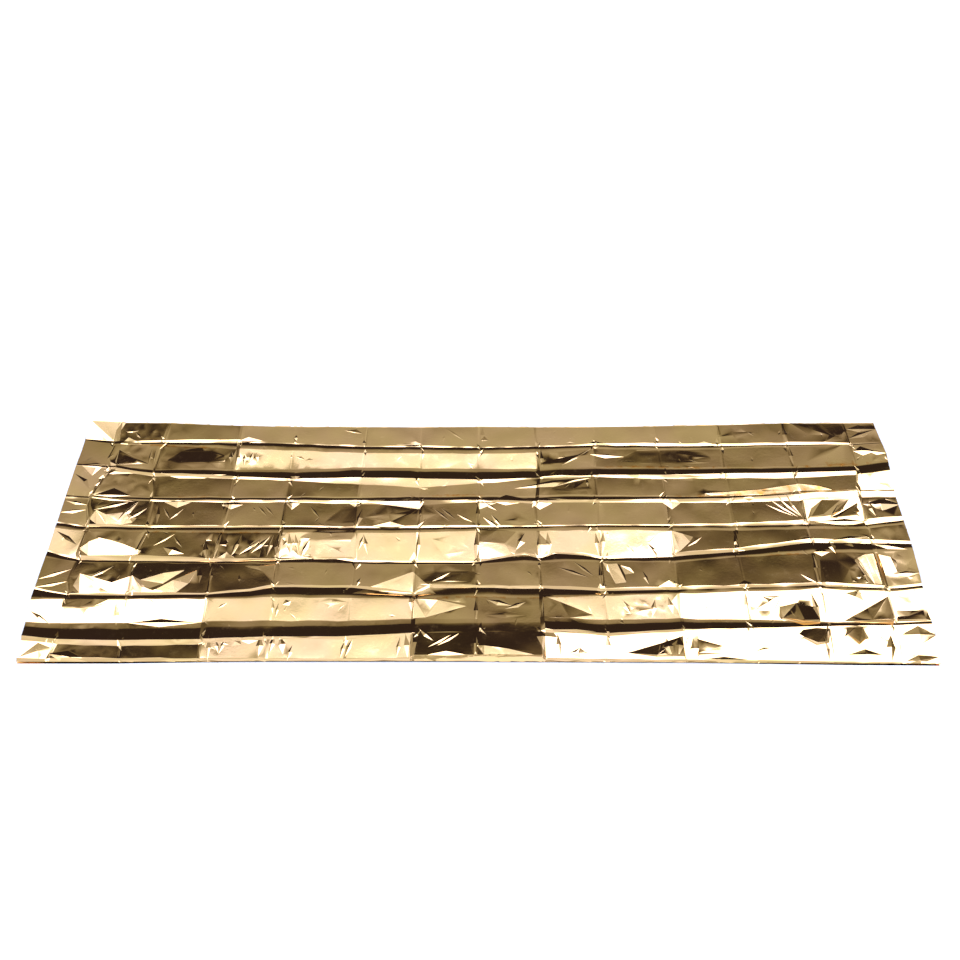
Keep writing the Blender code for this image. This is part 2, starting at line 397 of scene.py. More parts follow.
FLAPS = (
    Flap("back left corner", ((-1051, 404, 10), (-962, 404, 4), (-953, 404, 0)),
         ((-1051, 334), (-974, 326), (-957, 318))),
    Flap("band 2 left triangle", ((-946, 236, 2.4), (-852, 238, 0)), ((-946, 292), (-850, 242)), 8, 24),
    Flap("band 2 left oval", ((-805, 254, 0), (-775, 248, 1.6), (-705, 248, 1.8), (-665, 258, 0)),
         ((-803, 262), (-778, 290), (-702, 292), (-668, 276)), 8, 48, crisp=False),
    Flap("band 4 left pucker", ((-968, 44, 0), (-952, 70, 3.6), (-930, 56, 2.8), (-890, 64, 3.4),
          (-862, 44, 0)),
         ((-964, 32), (-948, 25), (-926, 24), (-890, 24), (-868, 32))),
    Flap("band 5 left swell", ((-960, -58, 0), (-948, -36, 3.6), (-930, -24, 5.6), (-900, -33, 5.0),
          (-868, -45, 4.0), (-838, -58, 2.2), (-822, -66, 0)),
         ((-956, -72), (-944, -78), (-930, -80), (-900, -80), (-868, -78), (-838, -76), (-824, -74))),
    Flap("band 6 left wave", ((-957, -172, 0), (-942, -138, 5.4), (-872, -165, 3.0), (-825, -144, 5),
          (-800, -178, 1.8), (-748, -194, 0)),
         ((-957, -190), (-942, -196), (-872, -196), (-825, -196), (-798, -196), (-750, -198))),
    Flap("band 6 fan, left", ((-806, -156, 1.8), (-752, -134, 3.0), (-704, -116, 0)),
         ((-788, -186), (-750, -166), (-704, -122))),
    Flap("band 6 fan, right", ((-776, -194, 0), (-725, -158, 3.6), (-674, -124, 1.0)),
         ((-760, -200), (-716, -198), (-688, -166))),
    Flap("band 5 brown top", ((-440, -16, 0), (-400, -26, 1.3), (-316, -24, 1.3), (-304, -24, 0)),
         ((-440, 4), (-400, 9), (-316, 9), (-304, 9)), 4, 54, crisp=False),
    Flap("band 6 lighter corner", ((-560, -106, 0), (-530, -108, 0.5), (-490, -106, 1.6)),
         ((-560, -112), (-516, -126), (-490, -164)), crisp=False),
    Flap("band 4 dark corner", ((-385, 34, 0), (-345, 32, 0.6), (-308, 34, 0.9)),
         ((-380, 46), (-345, 84), (-308, 92)), 4, 12, crisp=False),
    Flap("band 5 turned corner", ((-6, -30, 2.0), (58, -34, 1.3), (86, 0, 0)),
         ((-6, 14), (40, 12), (86, 4)), 50, 4),
    Flap("band 7 tongue", ((-160, -212, 2.8), (-100, -216, 2.2), (-34, -229, 0)),
         ((-160, -270), (-130, -268), (-34, -234))),
    Flap("band 7 shaded corner", ((136, -272, 0), (146, -272, 4.2), (205, -272, 2.8), (264, -268, 0)),
         ((136, -204), (146, -204), (186, -222), (264, -262)), 6, 40),
    Flap("band 2 shaded corner", ((148, 243, 0), (172, 244, 1.2), (212, 246, 1.4), (278, 250, 0)),
         ((148, 250), (172, 256), (216, 268), (282, 286)), 6, 48, crisp=False),
    Flap("band 2 hollow", ((352, 252, 0), (400, 246, 0.8), (500, 246, 0.9), (592, 252, 0)),
         ((354, 262), (400, 292), (500, 290), (590, 270)), 12, 46, crisp=False),
    Flap("band 5 blob", ((408, -30, 1), (430, -6, 3.4), (462, 2, 5.6), (488, -6, 3.4), (512, -16, 0)),
         ((411, -50), (428, -72), (462, -72), (476, -62), (504, -30))),
    Flap("band 8 roof", ((330, -372, 0), (396, -380, 4.2), (456, -378, 5.6)),
         ((346, -360), (406, -345), (458, -324))),
    Flap("band 8 roof, right", ((490, -374, 4.8), (548, -370, 0)), ((490, -332), (548, -352))),
    Flap("band 4 right diamond", ((814, 56, 1.6), (845, 60, 5.0), (872, 64, 3.4)),
         ((818, 84), (850, 112), (898, 110))),
    Flap("band 4 right sliver", ((882, 54, 1.4), (934, 64, 3.8)), ((886, 66), (944, 102))),
    Flap("band 7 right polygon", ((696, -272, 2.6), (745, -282, 7.4), (782, -280, 6.0)),
         ((694, -238), (735, -226), (780, -240))),
    Flap("ridge g polygon", ((736, -328, 3.0), (765, -346, 6.0), (794, -340, 4.6)),
         ((738, -306), (770, -300), (802, -304))),
    Flap("ridge g sliver", ((838, -320, 2.6), (860, -344, 5.8), (876, -330, 3.8)),
         ((838, -298), (860, -294), (876, -296))),
    Flap("band 7 right wedge", ((836, -280, 0), (900, -280, 5.0), (950, -280, 7.6)),
         ((836, -276), (896, -242), (950, -208))),
    Flap("band 7 end", ((962, -278, 3.2), (1036, -276, 3.4)), ((962, -250), (1036, -248))),
    Flap("band 7 left shade", ((-968, -238, 2.4), (-930, -240, 2.8), (-900, -236, 1.8), (-868, -222, 0)),
         ((-968, -212), (-930, -210), (-900, -211), (-870, -214)), 1.6),
    Flap("band 8 pale foot", ((-8, -358, 0), (8, -360, 2.5), (60, -369, 1.6), (118, -378, 0)),
         ((-8, -386), (8, -387), (60, -387), (118, -386)), 2),
    Flap("band 3 dark triangle", ((176, 150, 0), (232, 146, 0.9), (272, 148, 0.5)),
         ((178, 156), (240, 182), (276, 186)), 6, 36, crisp=False),
    Flap("band 6 dim hollow", ((-146, -160, 0), (-110, -163, 0.8), (-24, -163, 0.8), (-8, -160, 0)),
         ((-146, -134), (-110, -124), (-24, -124), (-8, -128)), 5, 6, crisp=False),
    Flap("band 6 shard", ((308, -104, 3.2), (330, -103, 3.4)), ((322, -166), (346, -162))),
    Flap("band 6 shard, right", ((337, -107, 1.6), (358, -116, 1.8)), ((345, -136), (366, -132))),
    Flap("valley f bump", ((416, -176, 0), (441, -158, 2.6), (468, -176, 0)),
         ((424, -183), (441, -185), (460, -183)), 1.6),
    # Its amber is a painted glint.
    Flap("band 3 right fold", ((560, 135, 0.4), (700, 147, 1.3), (800, 166, 1.8), (850, 158, 1.2),
          (884, 150, 0)),
         ((560, 127), (700, 129), (800, 142), (850, 143), (884, 145)), painted_glint_share=0.95),
    Flap("band 6 right column", ((904, -86, 1.5), (924, -78, 6), (945, -76, 6.6)),
         ((914, -166), (928, -172), (945, -172)), 2),
    Flap("band 6 right end", ((958, -78, 4.6), (986, -86, 3.6)), ((962, -142), (994, -130)), 2),
    Flap("band 6 right facet", ((802, -172, 0), (812, -174, 2.0), (850, -174, 1.8), (874, -168, 0)),
         ((802, -92), (812, -86), (852, -92), (876, -120)), 4, crisp=False),
)

# A buckle that the film bends softly over.
SOFT = False

# Each row: x, y, rise, left, right, back and front, then turn and crisp where they aren't 0 and True.
BUCKLES = {
    "left end": (
        (-930, 314, -2.1, 22, 45, 26, 6), (-922, 363, 0.5, 16, 18, 5, 5, 8),
        (-903, 348, 0.5, 16, 14, 5, 5, -52), (-1000, 238, 1.3, 40, 16, 6, 40),
        (-1012, 176, 1.4, 44, 38, 10, 2, -42), (-852, 264, 0.3, 3, 3, 34, 28, 4),
        (-840, 262, 0.35, 3, 3, 34, 30, 6), (-925, 128, 1.3, 40, 40, 26, 6),
        (-1010, 104, 1, 36, 40, 6, 6, -12), (-1015, 75, 0.8, 36, 40, 5, 8, 6),
        (-925, 114, 0.8, 50, 50, 3, 5, -8), (-883, 72, 1.4, 42, 42, 7, 7, 62),
        (-915, 92, 1.3, 46, 30, 8, 6, 22), (-862, 62, 0.8, 30, 30, 5, 5, 48),
        (-812, 62, 0.8, 5, 6, 34, 34, 4), (-788, 66, 0.5, 26, 22, 4, 4, -60),
        (-762, 64, 0.5, 26, 26, 4, 4, 52), (-765, 106, 1.7, 36, 34, 6, 20),
        (-1010, -16, 1.3, 40, 40, 6, 6, -34), (-745, -60, 1.6, 28, 34, 12, 16, -20),
        (-776, -25, 0.5, 30, 30, 4, 4, 44), (-740, -30, 0.5, 26, 26, 4, 4, -50),
        (-1010, -135, 1.2, 42, 44, 6, 7, 24), (-1010, -168, 1, 42, 44, 5, 6, 14),
        (-900, -128, 0.6, 34, 30, 5, 5, 40), (-664, -140, 0.7, 7, 6, 28, 26, 4),
        (-1020, -268, 1, 34, 36, 5, 5, -34), (-850, -262, 0.7, 6, 8, 40, 30, 6),
        (-740, -284, 1.8, 80, 90, 12, 12), (-1000, -368, 1.8, 50, 30, 26, 22, 20),
        (-940, -382, 1.9, 34, 50, 18, 12, -14),
    ),
    "left middle": (
        (-612, 328, -1, 26, 40, 14, 6), (-652, 268, 1, 5, 5, 24, 24, 3), (-634, 266, 1.1, 4, 7, 28, 26, -4),
        (-616, 262, 1, 6, 4, 20, 26, 6), (-598, 266, 0.8, 5, 5, 20, 20, -10),
        (-582, 268, 0.7, 4, 5, 18, 18, 12), (-335, 360, 0.4, 28, 20, 12, 2, -14),
        (-466, 264, 0.4, 13, 15, 7, 1.5, -24), (-489, 268, 0.35, 3, 3, 9, 2),
        (-442, 258, 0.3, 12, 10, 6, 1.5, 12), (-474, 198, 1.4, 12, 12, 14, 12),
        (-630, 98, 1.3, 26, 30, 16, 16), (-470, 102, 1.8, 16, 18, 18, 22), (-312, 104, 1.2, 16, 14, 14, 14),
        (-545, 76, 0.2, 24, 24, 4, 4, -50), (-528, 78, 0.2, 24, 24, 4, 4, -50),
        (-412, 72, 0.25, 26, 26, 4, 4, -56), (-300, 52, 1.1, 5, 9, 34, 40, -12),
        (-638, -40, 1.1, 5, 6, 44, 44, 2), (-662, -58, 1.1, 7, 7, 30, 34, 14),
        (-610, -86, -1.2, 20, 24, 22, 6), (-590, -38, 0.8, 6, 6, 34, 40, -10),
        (-556, -46, 1, 36, 36, 5, 6, 50), (-532, -40, 1, 34, 34, 5, 6, 56),
        (-508, -42, 1, 5, 6, 40, 40, -6), (-492, -48, 1.1, 5, 6, 40, 40, 3),
        (-462, -36, 1, 6, 6, 36, 40, 8), (-446, -34, 0.7, 5, 5, 30, 34, 12),
        (-424, -50, 1, 6, 7, 34, 36, -16), (-480, -80, -0.8, 14, 60, 26, 8),
        (-637, -140, 0.8, 5, 5, 30, 30), (-484, -240, 0.5, 4, 4, 24, 24, 6),
        (-474, -246, 0.5, 4, 4, 22, 22, -6), (-452, -224, 0.8, 12, 10, 10, 10, 30),
        (-600, -234, 0.5, 14, 14, 4, 4, 40), (-350, -222, 0.5, 30, 40, 10, 8, 0, SOFT),
        (-618, -358, 1.1, 6, 6, 34, 34, 3), (-600, -352, 0.8, 5, 5, 24, 24, 16),
        (-588, -352, 0.8, 5, 5, 24, 24, -14), (-560, -340, 1.6, 14, 16, 14, 14, -30),
        (-530, -336, 1.2, 20, 20, 12, 10), (-506, -352, 1.3, 8, 9, 30, 30),
        (-478, -346, 1.2, 7, 7, 28, 24, -8), (-456, -348, 1.4, 8, 10, 26, 28, 12),
        (-434, -370, 0.8, 5, 6, 22, 24, -12), (-312, -360, 0.8, 5, 5, 26, 28, -8),
        (-298, -356, 0.8, 5, 5, 26, 28, -14),
    ),
    "middle": (
        (-74, 354, 0.12, 34, 34, 4, 4, -44), (0, 350, 0.25, 6, 6, 30, 30), (4, 330, 0.5, 9, 11, 16, 2),
        (-175, 314, -0.7, 50, 20, 12, 6), (-159, 108, 2.4, 130, 10, 14, 26), (-8, 104, 1.6, 8, 44, 14, 22),
        (60, 112, 1.6, 40, 70, 20, 16), (20, 92, 1, 22, 22, 5, 5, -40), (-102, 62, 0.25, 32, 32, 4, 4, -46),
        (-86, 66, 0.2, 30, 30, 4, 4, -46), (-44, 50, 0.5, 24, 24, 4, 4, -34),
        (-230, 64, 0.5, 60, 60, 36, 26, 10, SOFT), (-150, 64, 0.7, 30, 40, 34, 26, 0, SOFT),
        (-12, 66, 1.1, 5, 6, 40, 40), (24, 34, 1.3, 30, 26, 6, 6, -42), (36, 42, 1, 26, 22, 5, 5, -58),
        (92, 42, 0.5, 40, 30, 12, 10, 0, SOFT), (-225, 22, -1.3, 44, 36, 16, 10),
        (-282, -36, 1.1, 5, 6, 30, 34, 10), (-292, -30, 0.8, 5, 5, 26, 26, -14),
        (-155, -40, 1, 4, 6, 46, 50), (-163, -88, -1.3, 10, 12, 26, 8), (-13, -40, 1.8, 6, 8, 52, 54),
        (-80, -36, 0.14, 50, 60, 30, 34, -20, SOFT), (96, -28, 1, 8, 12, 30, 30, -22),
        (-163, -194, -3.8, 140, 56, 68, 8), (-96, -144, 1, 26, 26, 5, 5, 34),
        (-166, -222, 0.8, 5, 6, 24, 26, 6), (40, -222, 0.6, 26, 34, 8, 10, -18),
        (84, -230, 0.5, 30, 22, 6, 8, 24), (56, -262, 0.35, 50, 50, 8, 8, 0, SOFT),
        (-12, -248, 0.8, 5, 6, 36, 34), (-190, -356, 0.8, 5, 5, 28, 30, -6),
        (-172, -352, 1, 6, 6, 34, 36, 5), (-158, -346, 1.4, 7, 9, 36, 40, 3),
        (-128, -322, 1.6, 26, 26, 7, 7, -48), (-96, -342, 1.1, 32, 32, 5, 5, 36),
        (-76, -338, 1.1, 32, 32, 5, 5, 36), (-80, -388, -1.8, 56, 56, 14, 8),
        (-15, -352, 2.2, 9, 11, 38, 44),
    ),
    "right middle, back": (
        (298, 318, 1.3, 20, 22, 10, 18), (152, 262, 1.4, 4, 6, 34, 34), (246, 268, 0.4, 52, 52, 5, 5, 38),
        (322, 274, 1.3, 40, 48, 6, 10, -6), (180, 172, 1.0, 100, 104, 10, 14, 10),
        (272, 172, 0.8, 4, 5, 14, 14, 6), (148, 102, 2.2, 22, 32, 16, 22), (470, 104, 1.9, 22, 24, 18, 22),
        (142, -40, 1.4, 6, 30, 40, 44), (164, -36, 0.8, 6, 10, 38, 34), (288, -34, 1, 6, 6, 34, 40, 4),
        (302, -30, 1, 6, 6, 34, 40, -4), (412, -56, 1.8, 8, 8, 26, 30, 22),
        (516, -30, 0.8, 26, 26, 4, 5, 40), (220, -128, 0.25, 40, 46, 6, 6, -24),
        (250, -118, 0.25, 36, 36, 5, 5, -46), (290, -140, 1.3, 5, 6, 40, 34),
        (390, -146, 0.8, 5, 5, 24, 24, 14),
    ),
    "left end, first fold": (
        (-969, 214, -1.3, 9, 7, 13, 11, -8), (-971, 189, -1.0, 7, 9, 11, 13, 10),
        (-968, 163, -1.2, 9, 8, 12, 12, -6),
    ),
    "right middle, front": (
        (286, -196, -2.4, 14, 18, 30, 8), (340, -236, 0.7, 8, 8, 22, 22, 20),
        (366, -250, 0.5, 34, 40, 12, 10, 12, SOFT), (400, -240, 1, 6, 7, 26, 28, -12),
        (438, -232, 1, 6, 8, 26, 26, 8), (148, -330, 3.6, 22, 26, 46, 60),
        (176, -350, 1.7, 6, 6, 32, 36, 3), (224, -374, 1.1, 28, 24, 16, 12), (290, -352, 0.8, 6, 7, 34, 36),
        (424, -356, 1.6, 12, 10, 26, 30, 10), (446, -352, 1.6, 8, 12, 28, 34, -8),
        (480, -360, 1.6, 10, 12, 30, 28), (546, -390, 1.4, 56, 56, 8, 6),
    ),
    "right end": (
        (580, 312, -0.7, 30, 30, 14, 6), (660, 350, 0.35, 44, 60, 12, 16, 10, SOFT),
        (622, 350, 0.4, 6, 6, 40, 40), (798, 350, 0.5, 7, 7, 44, 40), (800, 270, 0.5, 6, 6, 40, 34),
        (870, 370, 0.9, 60, 50, 22, 22, -26, SOFT), (930, 346, 0.9, 50, 40, 18, 20, 34, SOFT),
        (1000, 372, 0.6, 40, 50, 16, 14), (1000, 352, 0.5, 46, 50, 10, 12, 22),
        (890, 282, 0.4, 70, 60, 7, 9, 32, SOFT), (984, 288, 1.8, 24, 36, 18, 16),
        (1024, 284, 1.3, 22, 26, 6, 10, -8), (670, 118, 0.8, 14, 14, 8, 8), (752, 84, 1, 42, 42, 5, 5, -46),
        (764, 92, 1, 42, 42, 5, 5, -56), (776, 94, 1, 42, 42, 5, 5, -70), (740, 78, 0.7, 38, 38, 4, 4, -34),
        (892, 84, 1.9, 44, 44, 9, 9, 44), (1004, 98, 1.9, 46, 50, 18, 22),
        (978, 82, 1.2, 9, 10, 26, 26, 10), (900, 40, 1.4, 80, 60, 10, 16),
        (900, -20, 1.8, 60, 54, 10, 26, 6), (848, -46, 1.8, 8, 10, 24, 24, 14),
        (618, -30, 0.8, 5, 6, 24, 22), (622, -56, 1.1, 14, 16, 12, 14), (818, -64, 1.6, 18, 22, 14, 14),
        (990, -46, 1.7, 40, 46, 14, 10, -14), (798, -118, 1.2, 6, 8, 46, 40),
        (776, -154, 1, 24, 24, 5, 5, -40), (1016, -136, 1.8, 44, 40, 8, 10, 4),
        (622, -172, 1.4, 18, 24, 14, 12), (618, -232, 1.3, 6, 8, 40, 44),
        (668, -226, 1.4, 34, 40, 22, 24, 30), (778, -240, 2.3, 7, 8, 44, 44, 6),
        (874, -210, 1.9, 24, 20, 24, 26, -30), (784, -360, 1.1, 6, 8, 36, 34, 3),
        (870, -376, 2, 40, 40, 16, 12), (934, -356, 2.7, 12, 10, 36, 40, -6),
        (1010, -320, 2.5, 44, 44, 26, 26), (1000, -392, 1.8, 56, 50, 16, 8, 12),
        (640, -362, 0.7, 20, 20, 6, 6, 14),
    ),
}


@dataclass(frozen=True)
class Scatter:
    """Small narrow buckles made by chance. Sizes are in mm.

    Attributes:
        name: what they are.
        seed: seed of the random places.
        rise: lowest and highest rise.
        reach: shortest and longest half length.
        width: smallest and largest half width.
        turn: the middle of their direction and how far it varies, in degrees.
        stretch: how much further they scatter across the sheet than along it, at a crossing.
        half_length, half_depth: the stretch of the sheet that they may lie in, to either side of its middle.
    """

    name: str
    seed: int
    rise: tuple[float, float]
    reach: tuple[float, float]
    width: tuple[float, float]
    turn: tuple[float, float]
    stretch = 1.6
    half_length = 1030
    half_depth = 370

    def buckle(self, rng: np.random.Generator, x: float, y: float) -> Buckle:
        """Make one at a place."""
        start, full = rng.uniform(*self.reach, 2)
        left, right = rng.uniform(*self.width, 2)
        turn = self.turn[0] + rng.uniform(-1, 1) * self.turn[1]
        return Buckle(x, y, rng.uniform(*self.rise) * rng.choice((-1, 1)), left, right, start, full, turn)

    def at_crossings(self, each: int, spread: float) -> list[Buckle]:
        """Place some where lengthwise and transverse folds cross."""
        rng = np.random.default_rng(self.seed)
        found = []
        for station in range(1, PANELS):
            for crease in CREASES[1:-1]:
                for _ in range(each):
                    dx, dy = rng.normal(0, spread, 2)
                    x, y = STATIONS[station] / MM + dx, crease.y[station] + dy * self.stretch
                    found.append(self.buckle(rng, x, y))
        return found

    def all_over(self, count: int) -> list[Buckle]:
        """Place some anywhere on the sheet."""
        rng = np.random.default_rng(self.seed)
        xs = rng.uniform(-self.half_length, self.half_length, count)
        ys = rng.uniform(-self.half_depth, self.half_depth, count)
        return [self.buckle(rng, x, y) for x, y in zip(xs, ys)]


PUCKERS = Scatter("crossing puckers", 41, (0.3, 0.9), (10, 20), (3, 6), (0, 38))
SCRATCHES = Scatter("scratches", 43, (0.05, 0.17), (6, 16), (2, 4), (20, 70))


@dataclass(frozen=True)
class Crumple:
    """A patch of small random facets. Sizes are in mm.

    Attributes:
        name: where it is.
        left, right, front, back: its sides.
        pitch_x, pitch_y: spacing of the facets' corners.
        height: how far a corner stands off, at most.
        slant: how far the facets run sideways for each unit towards the back.
    """

    name: str
    left: float
    right: float
    front: float
    back: float
    pitch_x: float
    pitch_y: float
    height: float
    slant: float = 0.0


CRUMPLES = (
    Crumple("calm film", -1050, 1050, -400, 400, 19, 16, 0.035),
    Crumple("left end", -1050, -960, -400, 400, 22, 9, 0.25, -0.5),
    Crumple("left crossings", -965, -800, -400, 400, 14, 12, 0.2),
    Crumple("band 2 scratches", -680, -570, 240, 296, 6, 20, 0.45),
    Crumple("band 2 right scratches", 154, 208, 252, 294, 6, 20, 0.4, 0.1),
    Crumple("band 5 scratches", -700, -412, -86, 0, 7, 24, 0.5, 0.35),
    Crumple("band 8 scratches", -645, -585, -390, -330, 7, 22, 0.35, -0.1),
    Crumple("band 8 blob", -515, -430, -390, -330, 9, 18, 0.3, -0.1),
    Crumple("band 8 right scratches", 180, 300, -390, -340, 9, 16, 0.4),
    Crumple("band 8 right folds", 400, 500, -390, -325, 9, 22, 0.6),
    Crumple("band 7 speckles", 330, 470, -265, -205, 8, 14, 0.2, -0.4),
    Crumple("band 7 right", 600, 700, -280, -195, 10, 18, 0.45),
    Crumple("right end", 800, 1050, -400, 400, 17, 13, 0.4, 0.3),
    Crumple("band 6 right", 868, 914, -172, -86, 8, 9, 0.45, 0.3),
)


@dataclass(frozen=True)
class Pinch:
    """A sharp transverse fold at one station, as deep in each band as its table says.

    Attributes:
        station: which station it follows.
        depths: depth in mm in each band, below zero for a ridge.
        reach: half its width in mm.
        sway: (y, shift) pairs in mm that move it along X.
    """

    station: int
    depths: Sequence[float]
    reach: float = 3.6
    sway: Sequence[tuple[float, float]] = ((400, 0), (-400, 0))


PINCHES = (
    Pinch(1, (-0.3, 0.12, -0.08, -0.3, 0.4, -0.4, 0.2, -0.3), 4.0,
          ((400, 14), (360, 6), (320, 16), (260, 4), (225, 18), (150, -8), (100, -14), (60, -2), (0, 2),
           (-60, -10), (-90, 4), (-140, -14), (-190, 0), (-250, -6), (-330, 6), (-400, -8))),
    Pinch(2, (0.1, 0.25, 0.15, 0.3, -0.4, 0.3, -0.3, 0.4), 4.0,
          ((400, 8), (240, -6), (100, 12), (0, 14), (-90, -4), (-240, 6), (-400, 20))),
    Pinch(3, (0.1, -0.3, 0.1, -0.2, -0.6, -0.4, -0.3, 0.6), 3.6,
          ((400, 4), (100, 8), (-90, -6), (-400, 2))),
    Pinch(4, (0.1, 0.1, 0.1, -0.15, -0.4, -0.15, -0.2, -0.4), 3.6,
          ((400, -4), (190, 0), (-90, -4), (-400, 6))),
    Pinch(5, (0.25, 0.1, 0.15, -0.5, -0.4, 0.1, 0.15, 0.4), 3.4,
          ((400, 6), (100, -4), (-90, 3), (-400, -2))),
    Pinch(6, (0.15, 0.1, 0.1, 0.2, 0.5, 0.2, -0.3, -0.7), 3.4, ((400, 2), (100, 6), (-90, 0), (-400, 4))),
    Pinch(7, (0.3, 0.1, 0.1, 0.5, 0.7, 0.2, -0.2, -0.7), 3.6, ((400, 4), (100, 4), (-90, 0), (-400, -2))),
    Pinch(8, (-0.3, 0.5, -0.2, -0.3, -0.5, 0.2, -0.2, -0.8), 4.2,
          ((400, 0), (200, 6), (100, -2), (-400, 0))),
    Pinch(9, (0.1, -0.2, 0.2, 0.1, 0.5, -0.4, 0.2, -0.2), 3.4,
          ((400, 2), (200, -4), (-100, -8), (-400, -2))),
    Pinch(10, (-0.1, 0.1, 0.1, 0.1, -0.3, 0.15, -0.2, 0.3), 3.4, ((400, -2), (100, 6), (-400, 0))),
    Pinch(11, (-0.2, 0.2, 0.1, 0.1, -0.4, 0.1, 0.4, -0.2), 3.4, ((400, 4), (100, 0), (-400, -2))),
    Pinch(12, (-0.3, 0.3, -0.2, -0.5, 0.3, -0.5, -0.6, 0.4), 4.0,
          ((400, -2), (100, 4), (-100, 0), (-400, -6))),
    Pinch(13, (-0.15, -0.2, 0.4, -0.4, 0.4, 0.6, 0.5, 0.4), 4.4,
          ((400, 2), (250, 6), (100, -6), (-100, -4), (-250, 0), (-400, -12))),
)

# How far the cut ends draw in, in metres: (y, left end, right end).
END_PROFILE = (
    (0.400, 0.012, 0.011),
    (0.330, 0.016, 0.006),
    (0.290, 0.014, 0.000),
    (0.210, 0.009, 0.005),
    (0.120, 0.006, 0.009),
    (0.000, 0.004, 0.007),
    (-0.095, 0.001, 0.008),
    (-0.200, 0.000, 0.014),
    (-0.350, 0.007, 0.016),
    (-0.400, 0.008, 0.022),
)


class Relief:
    """Heights of the upper layer, worked out from how each panel and flank leans.

    Attributes:
        blend: half the stretch over which a band changes its lean at a transverse fold.
        floor_clearance: least height of the finished upper layer.
        mean_height, back_height, front_height: heights that the folds and the two long edges tend to.
        lowest: least height of a fold or a band before the small relief is added.
        firm, slack: how firmly a gentle and a steep flank keep their lean.
        firm_below: lean in degrees below which a flank is gentle.
        usual_flank, least_flank: flank widths that scale that firmness.
        back_hold, front_hold, mean_hold: how firmly those heights are kept.
        panel_hold, fold_hold, step_hold: how firmly a height is kept along a panel, at a fold and at a step.
        lift_margin, lift_reach, lift_gain, passes: how low places are pulled up, and how many times.
        ripple_pitch, ripple, ripple_width: spacing and size of the folds' and flanks' uneven line.
        wander_pitch, wander: spacing and size of the folds' uneven height.
        wander_room: width of flank that it needs to reach that size.
        least_width: least share of its width that an uneven flank keeps.
        bow_sink: how much of its flank's fall a valley sinks by where it bows back.
        pinch_fade: how far from a band's edge a transverse fold reaches its depth.
        seed: seed of the uneven lines.
        steps: (band, station, step), how much higher in mm a band stands on the right of a transverse fold.
    """

    blend = 0.005
    floor_clearance = 0.0025
    mean_height, back_height, front_height = 0.0095, 0.008, 0.0040
    lowest = 0.0032
    firm, slack = 3.0, 0.2
    firm_below = 4.3
    usual_flank, least_flank = 0.012, 0.004
    back_hold, front_hold, mean_hold = 2.0, 1.2, 0.03
    panel_hold, fold_hold, step_hold = 0.10, 0.30, 3.0
    lift_margin, lift_reach, lift_gain = 0.0005, 0.002, 0.25
    passes = 6
    ripple_pitch, ripple, ripple_width = 0.036, 0.0007, 0.0016
    wander_pitch, wander, wander_room = 0.026, 0.00035, 0.010
    least_width = 0.5
    bow_sink = 0.8
    pinch_fade = 0.006
    seed = 11
    steps = ((1, 1, 0.4), (2, 1, 0.9))

    def __init__(self) -> None:
        self.buckles = [Buckle(*row) for group in BUCKLES.values() for row in group]
        self.buckles += PUCKERS.at_crossings(each=2, spread=6.0) + SCRATCHES.all_over(count=140)
        self.stations = np.array(STATIONS)
        inner = self.stations[1:-1]
        self.ends = np.sort(np.concatenate([self.stations[[0, -1]], inner - self.blend, inner + self.blend]))
        rng = np.random.default_rng(self.seed)
        self.knots = np.arange(STATIONS[0], STATIONS[-1] + self.ripple_pitch, self.ripple_pitch)
        self.ripples = rng.uniform(-1, 1, (len(CREASES), 3, len(self.knots)))
        self.crease_z, self.band_z = self.solve()
        self.wander_knots = np.arange(STATIONS[0], STATIONS[-1] + self.wander_pitch, self.wander_pitch)
        self.wanders = rng.uniform(-1, 1, (len(CREASES), len(self.wander_knots))) * self.wander
        self.wanders[[0, -1]] = 0

    def at(self, values: float | Sequence[float], x: np.ndarray) -> np.ndarray:
        """Interpolate a value for each station, or a single one, at each x."""
        row = np.broadcast_to(np.array(values, dtype=float), self.stations.shape)
        return np.interp(x, self.stations, row)

    def crease_y(self, index: int, x: np.ndarray) -> np.ndarray:
        """Place of a crease along Y at each x, in metres."""
        y = self.at(CREASES[index].y, x) * MM
        if 0 < index < len(CREASES) - 1:
            y = y + CREASES[index].bow(x) + self.ripple * np.interp(x, self.knots, self.ripples[index, 0])
        return y

    def flank(self, index: int, side: Side, x: np.ndarray) -> np.ndarray:
        """Width of a crease's far or near flank at each x, in metres."""
        row = 1 if side is Side.FAR else 2
        width = self.at(getattr(CREASES[index], side.value), x) * MM
        uneven = self.ripple_width * np.interp(x, self.knots, self.ripples[index, row])
        if side is Side.NEAR and CREASES[index].is_valley:
            width = width + CREASES[index].bow(x)
        if side is Side.FAR and not CREASES[index].is_valley:
            width = width - CREASES[index].bow(x)
        return np.maximum(width + uneven, width * self.least_width)

    def band_edges(self, index: int, x: np.ndarray) -> tuple[np.ndarray, np.ndarray]:
        """Where a band's flat stretch starts, at its back, and ends, at its front."""
        back = self.crease_y(index, x) - self.flank(index, Side.NEAR, x)
        front = self.crease_y(index + 1, x) + self.flank(index + 1, Side.FAR, x)
        return back, front

    def slope(self, index: int, x: np.ndarray) -> np.ndarray:
        """Slope of a band towards the front at each x, changing over a few millimetres at each fold."""
        leans = BANDS[index].leans
        knots, values = [self.stations[0]], [leans[0]]
        for fold in range(1, PANELS):
            knots += [self.stations[fold] - self.blend, self.stations[fold] + self.blend]
            values += [leans[fold - 1], leans[fold]]
        knots.append(self.stations[-1])
        values.append(leans[-1])
        return np.tan(np.radians(np.interp(x, knots, values)))

